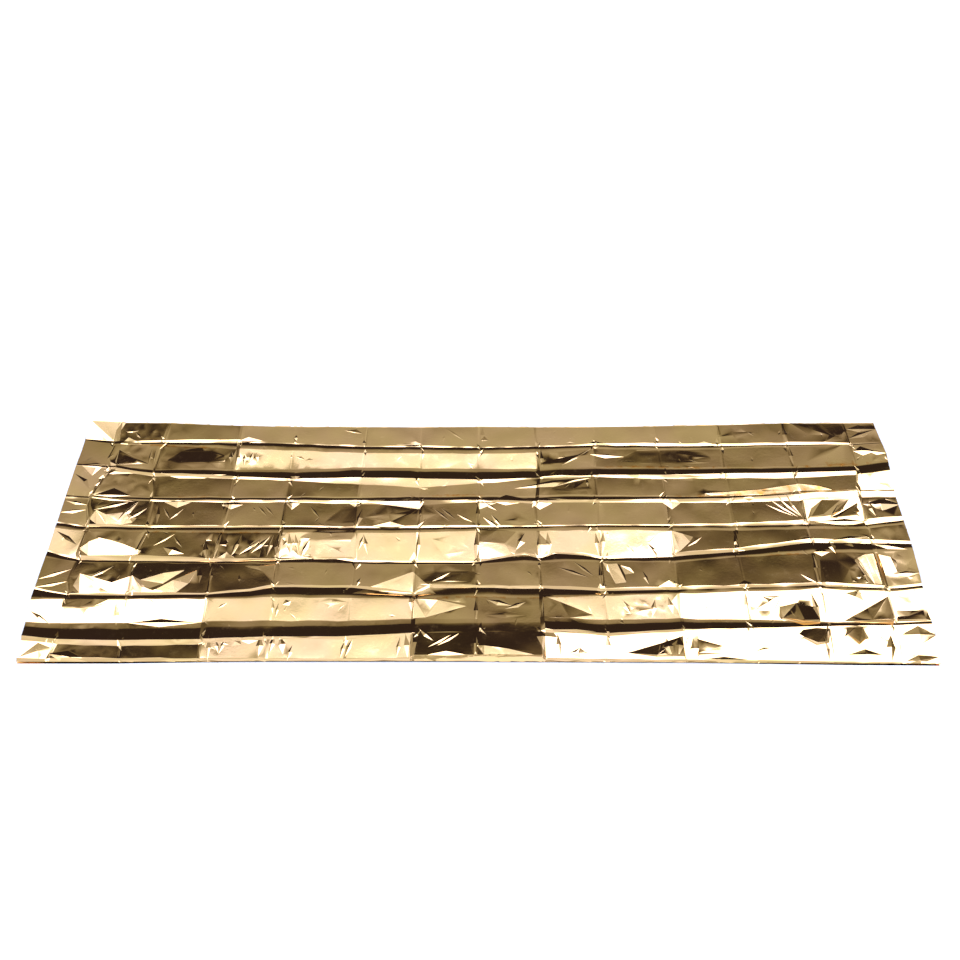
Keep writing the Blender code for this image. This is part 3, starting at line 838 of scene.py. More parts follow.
    def solve(self) -> tuple[np.ndarray, np.ndarray]:
        """Find the heights that give each flank its lean, as nearly as one continuous film can.

        Returns:
            Heights of the creases and of the bands' middles at both ends of each panel, in metres.
        """
        creases, bands, places = len(CREASES), len(BANDS), len(self.ends)
        rows, goals = [], []

        def want(terms: Sequence[tuple[int, int, float]], goal: float, weight: float) -> None:
            """Ask that the sum of (line, place, factor) terms comes near a goal."""
            row = np.zeros((creases + bands, places))
            for line, place, factor in terms:
                row[line, place] += factor * weight
            rows.append(row.ravel())
            goals.append(goal * weight)

        half_fall = np.zeros((bands, places))
        for place, x in enumerate(self.ends):
            panel = place // 2
            at_x = np.array([x])
            for band in range(bands):
                back, front = self.band_edges(band, at_x)
                half = (back[0] - front[0]) / 2 * slope_of(BANDS[band].leans[panel])
                half_fall[band, place] = abs(half)
                for line, side, lean, sign in (
                        (band, Side.NEAR, per_panel(CREASES[band].near_lean)[panel], 1),
                        (band + 1, Side.FAR, per_panel(CREASES[band + 1].far_lean)[panel], -1)):
                    width = self.flank(line, side, at_x)[0]
                    drop = width * slope_of(lean)
                    firmness = self.firm if lean < self.firm_below else self.slack
                    want([(line, place, sign), (creases + band, place, -sign)], drop + half,
                         firmness * self.usual_flank / max(width, self.least_flank))
            want([(0, place, 1)], self.back_height, self.back_hold)
            want([(creases - 1, place, 1)], self.front_height, self.front_hold)
            for line in range(1, creases + bands):
                height = self.mean_height if line != creases - 1 else self.front_height
                want([(line, place, 1)], height, self.mean_hold)
                if place:
                    hold = self.panel_hold if place % 2 == 1 else self.fold_hold
                    want([(line, place, 1), (line, place - 1, -1)], 0.0, hold)
            for band, station, step in self.steps:
                if place == 2 * station:
                    line = creases + band
                    want([(line, place, 1), (line, place - 1, -1)], step * MM, self.step_hold)
        floor = np.concatenate([np.full((creases, places), self.lowest), self.lowest + half_fall])
        floor[creases - 1] = self.front_height
        pull = np.zeros_like(floor)
        for _ in range(self.passes):
            matrix = np.concatenate([np.array(rows), np.diag(pull.ravel())])
            target = np.concatenate([np.array(goals), (pull * (floor + self.lift_margin)).ravel()])
            heights = np.linalg.lstsq(matrix, target, rcond=None)[0].reshape(creases + bands, places)
            pull += np.clip((floor - heights) / self.lift_reach, 0, 1) * self.lift_gain
        return heights[:creases], heights[creases:]

    def crease_height(self, index: int, x: np.ndarray) -> np.ndarray:
        """Height of a crease at each x, wandering a little along it where its flanks are wide enough.

        Where a valley strays towards the back it also lies lower, so that its near flank keeps its lean.
        """
        crease = CREASES[index]
        narrow = np.minimum(self.flank(index, Side.FAR, x), self.flank(index, Side.NEAR, x))
        room = crease.wander * np.clip(narrow / self.wander_room, 0, 1)
        height = np.interp(x, self.ends, self.crease_z[index])
        height = height + room * np.interp(x, self.wander_knots, self.wanders[index])
        if crease.is_valley:
            lean = per_panel(crease.near_lean).mean()
            height = height + np.maximum(crease.bow(x), 0) * self.bow_sink * slope_of(lean)
        return height

    @staticmethod
    def flank_height(distance: np.ndarray, width: np.ndarray, edge_z: np.ndarray, fold_z: np.ndarray,
                     rise: float, part: float, curl: float) -> np.ndarray:
        """Height on a flank: a straight shoulder, then a curve to the fold.

        Args:
            distance: distance of each point from the flank's outer edge.
            width: width of the flank there.
            edge_z: height of its outer edge.
            fold_z: height of the fold.
            rise: slope of the shoulder, going to the fold.
            part: the shoulder's share of the width.
            curl: how much steeper the rest is at the fold than at the shoulder.
        """
        share = np.clip(distance / np.maximum(width, TINY), 0, 1)
        shoulder_z = edge_z + rise * part * width
        rest = np.clip((share - part) / (1 - part), 0, 1)
        curve = shoulder_z + (fold_z - shoulder_z) * rest ** curl
        return np.where(share < part, edge_z + rise * share * width, curve)

    def height(self, x: np.ndarray, y: np.ndarray) -> np.ndarray:
        """Height of the folded film at each point, in metres."""
        z = np.zeros_like(x)
        for band in range(len(BANDS)):
            far_y, near_y = self.crease_y(band, x), self.crease_y(band + 1, x)
            far_z = self.crease_height(band, x)
            near_z = self.crease_height(band + 1, x)
            back, front = self.band_edges(band, x)
            slope, middle = self.slope(band, x), np.interp(x, self.ends, self.band_z[band])
            flat = middle + slope * (y - (back + front) / 2)
            back_z = middle + slope * (back - front) / 2
            front_z = middle - slope * (back - front) / 2
            behind, ahead = CREASES[band], CREASES[band + 1]
            part, lean = behind.near_shoulder
            curve = self.flank_height(y - back, far_y - back, back_z, far_z, slope_of(lean), part,
                                      behind.curl)
            here = np.where(y > back, curve, flat)
            part, lean = ahead.far_shoulder
            curve = self.flank_height(front - y, front - near_y, front_z, near_z, -slope_of(lean), part,
                                      ahead.curl)
            here = np.where(y < front, curve, here)
            inside = (y <= far_y + ROUNDING) & (y >= near_y - ROUNDING)
            z = np.where(inside, here, z)
        z += self.pinch_height(x, y)
        for buckle in self.buckles:
            z += buckle.height(x, y)
        for flap in FLAPS:
            z += flap.height(x, y)
        return z

    def pinch_height(self, x: np.ndarray, y: np.ndarray) -> np.ndarray:
        """Height that the transverse folds take away at each point."""
        total = np.zeros_like(x)
        for pinch in PINCHES:
            share = np.maximum(0, 1 - np.abs(x - STATIONS[pinch.station]) / (pinch.reach * MM))
            near = share > 0
            for band, depth in enumerate(pinch.depths):
                back, front = self.band_edges(band, x[near])
                inside = (np.clip((back - y[near]) / self.pinch_fade, 0, 1)
                          * np.clip((y[near] - front) / self.pinch_fade, 0, 1))
                total[near] -= depth * MM * share[near] * inside
        return total

    def sway(self, x: np.ndarray, y: np.ndarray) -> np.ndarray:
        """Shift along X that bends the transverse folds and gives the cut ends their uneven line."""
        profile = np.array(END_PROFILE)[::-1]
        left = np.interp(y, profile[:, 0], profile[:, 1])
        right = np.interp(y, profile[:, 0], profile[:, 2])
        left_share = np.clip((STATIONS[1] - x) / (STATIONS[1] - STATIONS[0]), 0, 1)
        right_share = np.clip((x - STATIONS[-2]) / (STATIONS[-1] - STATIONS[-2]), 0, 1)
        shift = left * left_share - right * right_share
        for pinch in PINCHES:
            reach = min(STATIONS[pinch.station + 1] - STATIONS[pinch.station],
                        STATIONS[pinch.station] - STATIONS[pinch.station - 1])
            share = np.maximum(0, 1 - np.abs(x - STATIONS[pinch.station]) / reach)
            places = np.array(pinch.sway)[::-1] * MM
            shift += share * np.interp(y, places[:, 0], places[:, 1])
        return shift


class CutPlan:
    """The sheet's plan: every line that must be an edge of the mesh, and the points between them.

    Attributes:
        inset: distance of the lines that keep a flank's edge crisp from that edge.
        inset_share: largest share of a flank that they take.
        curve_shares: where lines shape the curve between a flank's shoulder and its fold.
        merge: points closer than this are one.
        clearance: least distance of a facet's corner from a lengthwise line.
        least_column: least distance between two columns.
        soft_shares: where lines round the strips of a soft flap.
        jitter: where in its cell a facet's corner may lie.
        least_lift: least share of its patch's height that a corner of a long facet stands off.
        long_facet: how many times longer than wide a facet has to be to count as long.
        seed: seed of the first patch.
    """

    inset = 0.0015
    inset_share = 0.15
    curve_shares = (0.4, 0.7)
    merge = 0.00004
    clearance = 0.0025
    least_column = 1e-3
    soft_shares = (0.15, 0.85)
    jitter = (0.1, 0.9)
    least_lift = 0.35
    long_facet = 1.6
    seed = 100

    def __init__(self, relief: Relief) -> None:
        self.relief = relief
        self.points: list[tuple[float, float]] = []
        self.edges: list[tuple[int, int]] = []
        self.crisp: list[bool] = []
        self.lifts: list[float] = []
        self.long_lines: list[tuple[np.ndarray, np.ndarray]] = []

    def add_line(self, points: Sequence[tuple[float, float]], crisp: bool, closed: bool = False) -> None:
        """Add a run of points joined by edges.

        Args:
            points: plan points in metres.
            crisp: whether the film is creased sharply there.
            closed: whether the last point joins the first.
        """
        first = len(self.points)
        self.points += points
        self.lifts += [0.0] * len(points)
        count = len(points)
        joints = [(first + i, first + (i + 1) % count) for i in range(count if closed else count - 1)]
        self.edges += joints
        self.crisp += [crisp] * len(joints)

    def columns(self) -> np.ndarray:
        """Places along X where the lengthwise lines have points."""
        marks = set(STATIONS) | {x * MM for crease in CREASES for x, _ in crease.bows}
        for knots in (self.relief.knots, self.relief.wander_knots):
            marks |= set(np.round(knots, 6))
        for pinch in PINCHES:
            station = STATIONS[pinch.station]
            reaches = (self.relief.blend, pinch.reach * MM)
            marks |= {station + side * reach for side in (-1, 1) for reach in reaches}
        places = np.array(sorted(mark for mark in marks if STATIONS[0] <= mark <= STATIONS[-1]))
        keep = np.concatenate([[True], np.diff(places) > self.least_column])
        keep[-1] = True
        return places[keep]

    def add_long_line(self, x: np.ndarray, y: np.ndarray, crisp: bool = False) -> None:
        """Add a line that runs the length of the sheet."""
        self.long_lines.append((x, y))
        self.add_line(list(zip(x, y)), crisp)

    def is_clear(self, x: float, y: float) -> bool:
        """Whether a point lies well away from every lengthwise line."""
        return all(abs(y - np.interp(x, line_x, line_y)) > self.clearance
                   for line_x, line_y in self.long_lines)

    def add_cross_line(self, x: float) -> None:
        """Add a line across the sheet, with a point on every lengthwise fold."""
        ys = [self.relief.crease_y(index, np.array([x]))[0] for index in range(len(CREASES))]
        self.add_line([(x, y) for y in ys], crisp=True)

    def add_folds(self) -> None:
        """Add the lengthwise folds with the lines that shape their flanks, and the transverse folds."""
        x = self.columns()
        for band in range(len(BANDS)):
            far_y, near_y = self.relief.crease_y(band, x), self.relief.crease_y(band + 1, x)
            back, front = self.relief.band_edges(band, x)
            self.add_long_line(x, far_y, crisp=True)
            for edge, fold, part in ((back, far_y, CREASES[band].near_shoulder[0]),
                                     (front, near_y, CREASES[band + 1].far_shoulder[0])):
                across = fold - edge
                step = np.minimum(self.inset / np.maximum(np.abs(across), TINY), self.inset_share)
                self.add_long_line(x, edge - np.sign(across) * self.inset)
                shares = [0.0, step] + [part + (1 - part) * share for share in self.curve_shares]
                if part:
                    shares += [part - step, part + step]
                for share in shares:
                    self.add_long_line(x, edge + across * share)
        self.add_long_line(x, self.relief.crease_y(len(CREASES) - 1, x), crisp=True)
        for end in (STATIONS[0], STATIONS[-1]):
            self.add_cross_line(end)
        for pinch in PINCHES:
            for offset in (-pinch.reach * MM, 0.0, pinch.reach * MM):
                self.add_cross_line(STATIONS[pinch.station] + offset)

    def add_buckles(self) -> None:
        """Add the edges of every buckle."""
        for buckle in self.relief.buckles:
            tip, *corners = buckle.corners()
            for corner in corners:
                self.add_line([tip, corner], crisp=buckle.crisp)
            self.add_line(corners, crisp=buckle.crisp, closed=True)

    @staticmethod
    def plan_points(line: np.ndarray) -> list[tuple[float, float]]:
        """The places of a line's points, without their heights."""
        return [tuple(point) for point in line[:, :2].tolist()]

    def add_flaps(self) -> None:
        """Add the edges of every flap."""
        for flap in FLAPS:
            rows = flap.lines()
            lines = [self.plan_points(line) for line in rows]
            for number, line in enumerate(lines):
                self.add_line(line, crisp=flap.crisp and (number < 2 or not flap.shelf))
            if not flap.crisp:
                for start, end in zip(rows, rows[1:]):
                    for share in self.soft_shares:
                        self.add_line(self.plan_points(start + (end - start) * share), crisp=False)
            for upper, low in Flap.strips(lines):
                crisp = flap.crisp and (low is lines[0] or not flap.shelf)
                for i, point in enumerate(upper):
                    self.add_line([point, low[i]], crisp)
                    if i + 1 < len(low):
                        self.add_line([point, low[i + 1]], crisp)

    def add_crumples(self) -> None:
        """Scatter the corners of the small facets; a later patch takes the place of an earlier one."""
        for number, patch in enumerate(CRUMPLES):
            rng = np.random.default_rng(self.seed + number)
            columns = int((patch.right - patch.left) / patch.pitch_x)
            rows = int((patch.back - patch.front) / patch.pitch_y)
            for row in range(rows):
                for column in range(columns):
                    u, v = rng.uniform(*self.jitter, 2)
                    y = patch.front + (row + v) * patch.pitch_y
                    x = patch.left + (column + u) * patch.pitch_x + patch.slant * (y - patch.front)
                    side = 1 if (column + row // 2) % 2 else -1
                    lift = patch.height * rng.uniform(self.least_lift, 1.0) * side
                    if patch.pitch_x * self.long_facet > patch.pitch_y:
                        lift = patch.height * rng.uniform(-1.0, 1.0)
                    inside = patch.left <= x <= patch.right and not self.covered(x, y, number)
                    if inside and self.is_clear(x * MM, y * MM):
                        self.points.append((x * MM, y * MM))
                        self.lifts.append(lift * MM)

    @staticmethod
    def covered(x: float, y: float, number: int) -> bool:
        """Whether a later patch covers a point."""
        return any(patch.left <= x <= patch.right and patch.front <= y <= patch.back
                   for patch in CRUMPLES[number + 1:])

    def draw(self) -> tuple[np.ndarray, np.ndarray, np.ndarray, set[tuple[int, int]]]:
        """Draw the whole plan and cut it; see triangulate for what it gives."""
        self.add_folds()
        self.add_buckles()
        self.add_flaps()
        self.add_crumples()
        return self.triangulate()

    def triangulate(self) -> tuple[np.ndarray, np.ndarray, np.ndarray, set[tuple[int, int]]]:
        """Cut the plan into triangles along its lines.

        Returns:
            Points, triangles, each point's own lift, and the pairs of points joined by a sharp edge.
        """
        out = delaunay_2d_cdt(self.points, self.edges, [], 0, self.merge, True)
        points = np.array([tuple(point) for point in out[0]])
        triangles = np.array(out[2])
        lifts = np.array([self.lifts[source[0]] if source else 0.0 for source in out[3]])
        sharp = {tuple(sorted(edge)) for edge, sources in zip(out[1], out[4])
                 if any(self.crisp[source] for source in sources if source < len(self.crisp))}
        middle = points[triangles].mean(axis=1)
        back = self.relief.crease_y(0, middle[:, 0])
        front = self.relief.crease_y(len(CREASES) - 1, middle[:, 0])
        inside = (np.abs(middle[:, 0]) < STATIONS[-1]) & (middle[:, 1] < back) & (middle[:, 1] > front)
        return points, triangles[inside], lifts, sharp


@dataclass(frozen=True)
class FoilSheet:
    """The whole film: upper layer, back fold and lower layer, as one open surface.

    Attributes:
        fold_steps: rows of points around the back fold, between the layers.
        bulge: how far the back fold reaches behind the upper layer.
        sharp_angle: angle in degrees from which an edge shows as a sharp crease.
        glint_reach, glint_start: how far from a flank's edge the amber glint is painted, and how strongly at
            the edge.
        least_rise: height from which a flap shows its painted glint.
        lift_fade: how far from a lengthwise line the small facets reach their height.
        front_gap: how far the lower layer's free edge lies behind the upper one's.
        peek, peek_from, peek_over: how far it shows at the ends, from where, and over what stretch.
    """

    fold_steps: int = 4
    bulge: float = 0.003
    sharp_angle: float = 9.0
    glint_reach: float = 0.010
    glint_start: float = 1.3
    least_rise: float = 1e-5
    lift_fade: float = 0.006
    front_gap: float = 0.0015
    peek: float = 0.0035
    peek_from: float = 0.55
    peek_over: float = 0.3

    def line_distance(self, relief: Relief, x: np.ndarray, y: np.ndarray) -> np.ndarray:
        """Distance along Y from each point to the nearest lengthwise line."""
        nearest = np.full_like(x, 1.0)
        for band in range(len(BANDS)):
            back, front = relief.band_edges(band, x)
            for line in (relief.crease_y(band, x), relief.crease_y(band + 1, x), back, front):
                nearest = np.minimum(nearest, np.abs(y - line))
        return nearest

    def painted_glint(self, relief: Relief, x: np.ndarray, y: np.ndarray) -> np.ndarray:
        """How much painted amber glint each point gets, from 0 to 1: most where a steep dark flank meets its
        band.
        """
        painted_glint_share = np.zeros_like(x)
        middles = (relief.stations[1:] + relief.stations[:-1]) / 2
        for band in range(len(BANDS)):
            back, front = relief.band_edges(band, x)
            for line, crease, leans in ((back, CREASES[band], CREASES[band].near_lean),
                                        (front, CREASES[band + 1], CREASES[band + 1].far_lean)):
                if per_panel(leans).mean() < 0:
                    panel_glint = np.interp(x, middles, per_panel(crease.painted_glint))
                    share = np.clip(self.glint_start - np.abs(y - line) / self.glint_reach, 0, 1)
                    painted_glint_share = np.maximum(painted_glint_share, panel_glint * share)
        for flap in FLAPS:
            if flap.painted_glint_share:
                painted_glint_share = np.maximum(painted_glint_share, flap.painted_glint_share * (flap.height(x, y) > self.least_rise))
        return painted_glint_share

    def rows_below(self, relief: Relief, x: np.ndarray, edge: np.ndarray,
                   crest: np.ndarray) -> list[np.ndarray]:
        """Rows of points around the back fold and along the lower layer.

        Args:
            relief: the upper layer's heights.
            x: place of the back edge's points along the sheet.
            edge: their place across it.
            crest: their height.

        Returns:
            The rows, from the top of the fold to the lower layer's free edge.
        """
        steps = range(1, self.fold_steps + 1)
        turns = [math.pi / 2 - math.pi * step / (self.fold_steps + 1) for step in steps]
        rows = [(edge + self.bulge * math.cos(turn), crest * ((1 + math.sin(turn)) / 2)) for turn in turns]
        front_edge = relief.at(CREASES[-1].y, x) * MM + self.front_gap
        peek = np.clip((np.abs(x) - self.peek_from) / self.peek_over, 0, 1) * self.peek
        rows += [(row_y, crest * 0) for row_y in (edge, edge * 0, front_edge - peek)]
        return [np.stack([x + relief.sway(x, row_y), row_y, row_z], axis=-1) for row_y, row_z in rows]

    def add_mesh(self, points: np.ndarray, faces: list[list[int]],
                 sharp: set[tuple[int, int]]) -> bpy.types.Mesh:
        """Make the mesh, smooth but for its creases.

        Args:
            points: its points.
            faces: its faces, as numbers of points.
            sharp: the pairs of points joined by a crease.

        Returns:
            The mesh.
        """
        mesh = bpy.data.meshes.new("foil_film")
        mesh.from_pydata(points.tolist(), [], faces)
        mesh.update()
        mesh.shade_smooth()
        mesh.set_sharp_from_angle(angle=math.radians(self.sharp_angle))
        flags = mesh.attributes.get("sharp_edge") or mesh.attributes.new("sharp_edge", "BOOLEAN", "EDGE")
        for edge, flag in zip(mesh.edges, flags.data):
            if tuple(sorted(edge.vertices)) in sharp:
                flag.value = True
        return mesh

    def build(self) -> bpy.types.Object:
        """Make the film's mesh object."""
        relief = Relief()
        points, triangles, lifts, sharp = CutPlan(relief).draw()
        x, y = points[:, 0], points[:, 1]
        fade = np.clip(self.line_distance(relief, x, y) / self.lift_fade, 0, 1)
        z = np.maximum(relief.height(x, y) + lifts * fade, relief.floor_clearance)

        upper = np.unique(triangles)
        back_line = upper[np.abs(y[upper] - relief.crease_y(0, x[upper])) < CutPlan.merge]
        back_line = back_line[np.argsort(x[back_line])]
        below = self.rows_below(relief, x[back_line], y[back_line], z[back_line])
        vertices = np.concatenate([np.stack([x + relief.sway(x, y), y, z], axis=-1), *below])
        rows = [back_line, *np.arange(len(points), len(vertices)).reshape(len(below), -1)]
        faces = triangles.tolist()
        for over, under in zip(rows, rows[1:]):
            faces += np.stack([over[1:], over[:-1], under[:-1], under[1:]], axis=-1).tolist()

        used = np.unique(np.concatenate(faces))
        renumber = -np.ones(len(vertices), dtype=int)
        renumber[used] = np.arange(len(used))
        sharp = {tuple(sorted((int(renumber[a]), int(renumber[b])))) for a, b in sharp}
        mesh = self.add_mesh(vertices[used], [renumber[face].tolist() for face in faces], sharp)
        upper_layer = (np.arange(len(vertices)) < len(points)).astype(float)
        # Amber glint painted along the folds' dark flanks, kept as a point attribute for the material.
        painted_glint_mask = np.zeros(len(vertices))
        painted_glint_mask[:len(points)] = self.painted_glint(relief, x, y)
        for name, values in (("fold_painted_glint", painted_glint_mask), ("upper_layer", upper_layer)):
            mesh.attributes.new(name, "FLOAT", "POINT").data.foreach_set("value", values[used])
        film = bpy.data.objects.new("foil_film", mesh)
        bpy.context.scene.collection.objects.link(film)
        LOG.info("foil_film: %d vertices, %d faces", len(mesh.vertices), len(mesh.polygons))
        return film


@dataclass(frozen=True)
class FilmSwell:
    """The slow uneven swell of the upper layer.

    Attributes:
        pitch: distance from one swell to the next, in metres.
        height: how far the film stands off its folds at most, in metres.
        seed: seed of the uneven pattern.
        noise_low, noise_high: levels of the noise that give the deepest and the highest swell.
    """

    pitch: float = 0.055
    height: float = 0.00022
    seed: float = 29.0
    noise_low: float = 0.2
    noise_high: float = 0.8

    def build_tree(self) -> bpy.types.NodeTree:
        """Build the node tree, with named inputs for its sizes, its seed and the film's finish."""
        tree = bpy.data.node_groups.new("film_swell", "GeometryNodeTree")
        for name, kind in (("Geometry", "Geometry"), ("Pitch", "Float"), ("Height", "Float"),
                           ("Seed", "Float"), ("Finish", "Material")):
            tree.interface.new_socket(name, in_out="INPUT", socket_type=f"NodeSocket{kind}")
        tree.interface.new_socket("Geometry", in_out="OUTPUT", socket_type="NodeSocketGeometry")
        given = add_node(tree, "NodeGroupInput").outputs
        scale = add_math(tree, "DIVIDE", {1: given["Pitch"]}, {0: 1.0})
        noise = add_node(tree, "ShaderNodeTexNoise", {"noise_dimensions": "4D"}, {"Detail": 0.0},
                         {"Scale": scale.outputs[0], "W": given["Seed"]})
        share = add_range(tree, noise.outputs[0], self.noise_low, self.noise_high, low=-1.0)
        upper = add_node(tree, "GeometryNodeInputNamedAttribute", {"data_type": "FLOAT"},
                         {"Name": "upper_layer"})
        rise = add_math(tree, "MULTIPLY", {0: share.outputs[0], 1: given["Height"]})
        masked = add_math(tree, "MULTIPLY", {0: rise.outputs[0], 1: upper.outputs[0]})
        offset = add_node(tree, "ShaderNodeCombineXYZ", links={"Z": masked.outputs[0]})
        moved = add_node(tree, "GeometryNodeSetPosition",
                         links={"Geometry": given["Geometry"], "Offset": offset.outputs[0]})
        plain = add_node(tree, "GeometryNodeRealizeInstances", links={0: moved.outputs[0]})
        dressed = add_node(tree, "GeometryNodeSetMaterial",
                           links={"Geometry": plain.outputs[0], "Material": given["Finish"]})
        add_node(tree, "NodeGroupOutput", links={0: dressed.outputs[0]})
        return tree

    def apply(self, film: bpy.types.Object, finish: bpy.types.Material) -> None:
        """Swell the film, dress it, and leave it as a plain mesh.

        Args:
            film: the film's object.
            finish: its material.
        """
        modifier = film.modifiers.new("film_swell", "NODES")
        modifier.node_group = self.build_tree()
        given = {"Pitch": self.pitch, "Height": self.height, "Seed": self.seed, "Finish": finish}
        for item in modifier.node_group.interface.items_tree:
            if item.in_out == "INPUT" and item.name in given:
                modifier[item.identifier] = given[item.name]
        graph = bpy.context.evaluated_depsgraph_get()
        mesh = bpy.data.meshes.new_from_object(film.evaluated_get(graph), preserve_all_data_layers=True,
                                               depsgraph=graph)
        film.modifiers.clear()
        rough = film.data
        film.data = mesh
        bpy.data.meshes.remove(rough)
        mesh.name = film.name
        triangles = sum(len(face.vertices) - 2 for face in mesh.polygons)
        LOG.info("%s: %d triangles, swollen and dressed", film.name, triangles)


@dataclass(frozen=True)
class MetallisedPolyester:
    """Vacuum-metallised polyester film, tinted gold.

    Mirror-bright aluminium seen through a clear gold coat: the coat is a little pinker or yellower from
    place to place, with amber painted along the dark flanks of folds as a painted glint, and the film is
    finely crinkled all over.

    Attributes:
        colour, pink, yellow: the gold coat, and the tints that it drifts to.
        amber: the painted glint along the folds' dark flanks.
        roughness, scuffed: roughness of the clean and of the scuffed film.
        crinkle: height of the fine crinkles, in metres.
    """

    colour: str = "F9CE90"
    pink: str = "F9CC95"
    yellow: str = "F8D08C"
    amber: str = "E0922A"
    roughness: float = 0.055
    scuffed: float = 0.16
    crinkle: float = 0.00005

    def build(self) -> bpy.types.Material:
        """Make the film's material."""
        material = bpy.data.materials.new("metallised_polyester_gold")
        material.use_nodes = True
        tree = material.node_tree
        shader = tree.nodes["Principled BSDF"]
        place = add_node(tree, "ShaderNodeTexCoord").outputs["Object"]

        # Tint: slow patches of pink and yellow in the gold coat.
        patches = add_noise(tree, place, Scale=7.0, Detail=2.0)
        tint = add_node(tree, "ShaderNodeValToRGB", links={0: patches.outputs["Fac"]})
        stops = tint.color_ramp.elements
        stops[0].position, stops[0].color = 0.36, linear_colour(self.yellow)
        stops[1].position, stops[1].color = 0.64, linear_colour(self.pink)
        middle = stops.new(0.5)
        middle.color = linear_colour(self.colour)

        # Painted glint: amber specks painted along the dark flanks of the folds, for the warm glints in
        # them.
        painted_glint = add_node(tree, "ShaderNodeAttribute", {"attribute_name": "fold_painted_glint"})
        speckle = add_noise(tree, place, Scale=48.0, Detail=4.0, Roughness=0.65)
        painted_glint_share = add_math(tree, "MULTIPLY", {0: painted_glint.outputs["Fac"], 1: speckle.outputs["Fac"]})
        share = add_range(tree, painted_glint_share.outputs[0], 0.40, 0.62, high=0.8)
        coat = add_node(tree, "ShaderNodeMixRGB", values={"Color2": linear_colour(self.amber)},
                        links={"Fac": share.outputs[0], "Color1": tint.outputs["Color"]})

        # Scuffs: rougher where the specks are.
        gloss = add_range(tree, speckle.outputs["Fac"], 0.55, 0.8, self.roughness, self.scuffed)

        # Crinkle: fine creases a few millimetres apart, stronger in some places than in others.
        fine = add_noise(tree, place, Scale=120.0, Detail=3.0, Roughness=0.6)
        where = add_noise(tree, place, Scale=9.0, Detail=1.0)
        amount = add_range(tree, where.outputs["Fac"], 0.42, 0.68, low=0.15)
        bump = add_node(tree, "ShaderNodeBump", values={"Distance": self.crinkle},
                        links={"Strength": amount.outputs[0], "Height": fine.outputs["Fac"]})

        shader.inputs["Metallic"].default_value = 1.0
        tree.links.new(coat.outputs["Color"], shader.inputs["Base Color"])
        tree.links.new(gloss.outputs[0], shader.inputs["Roughness"])
        tree.links.new(bump.outputs["Normal"], shader.inputs["Normal"])
        return material


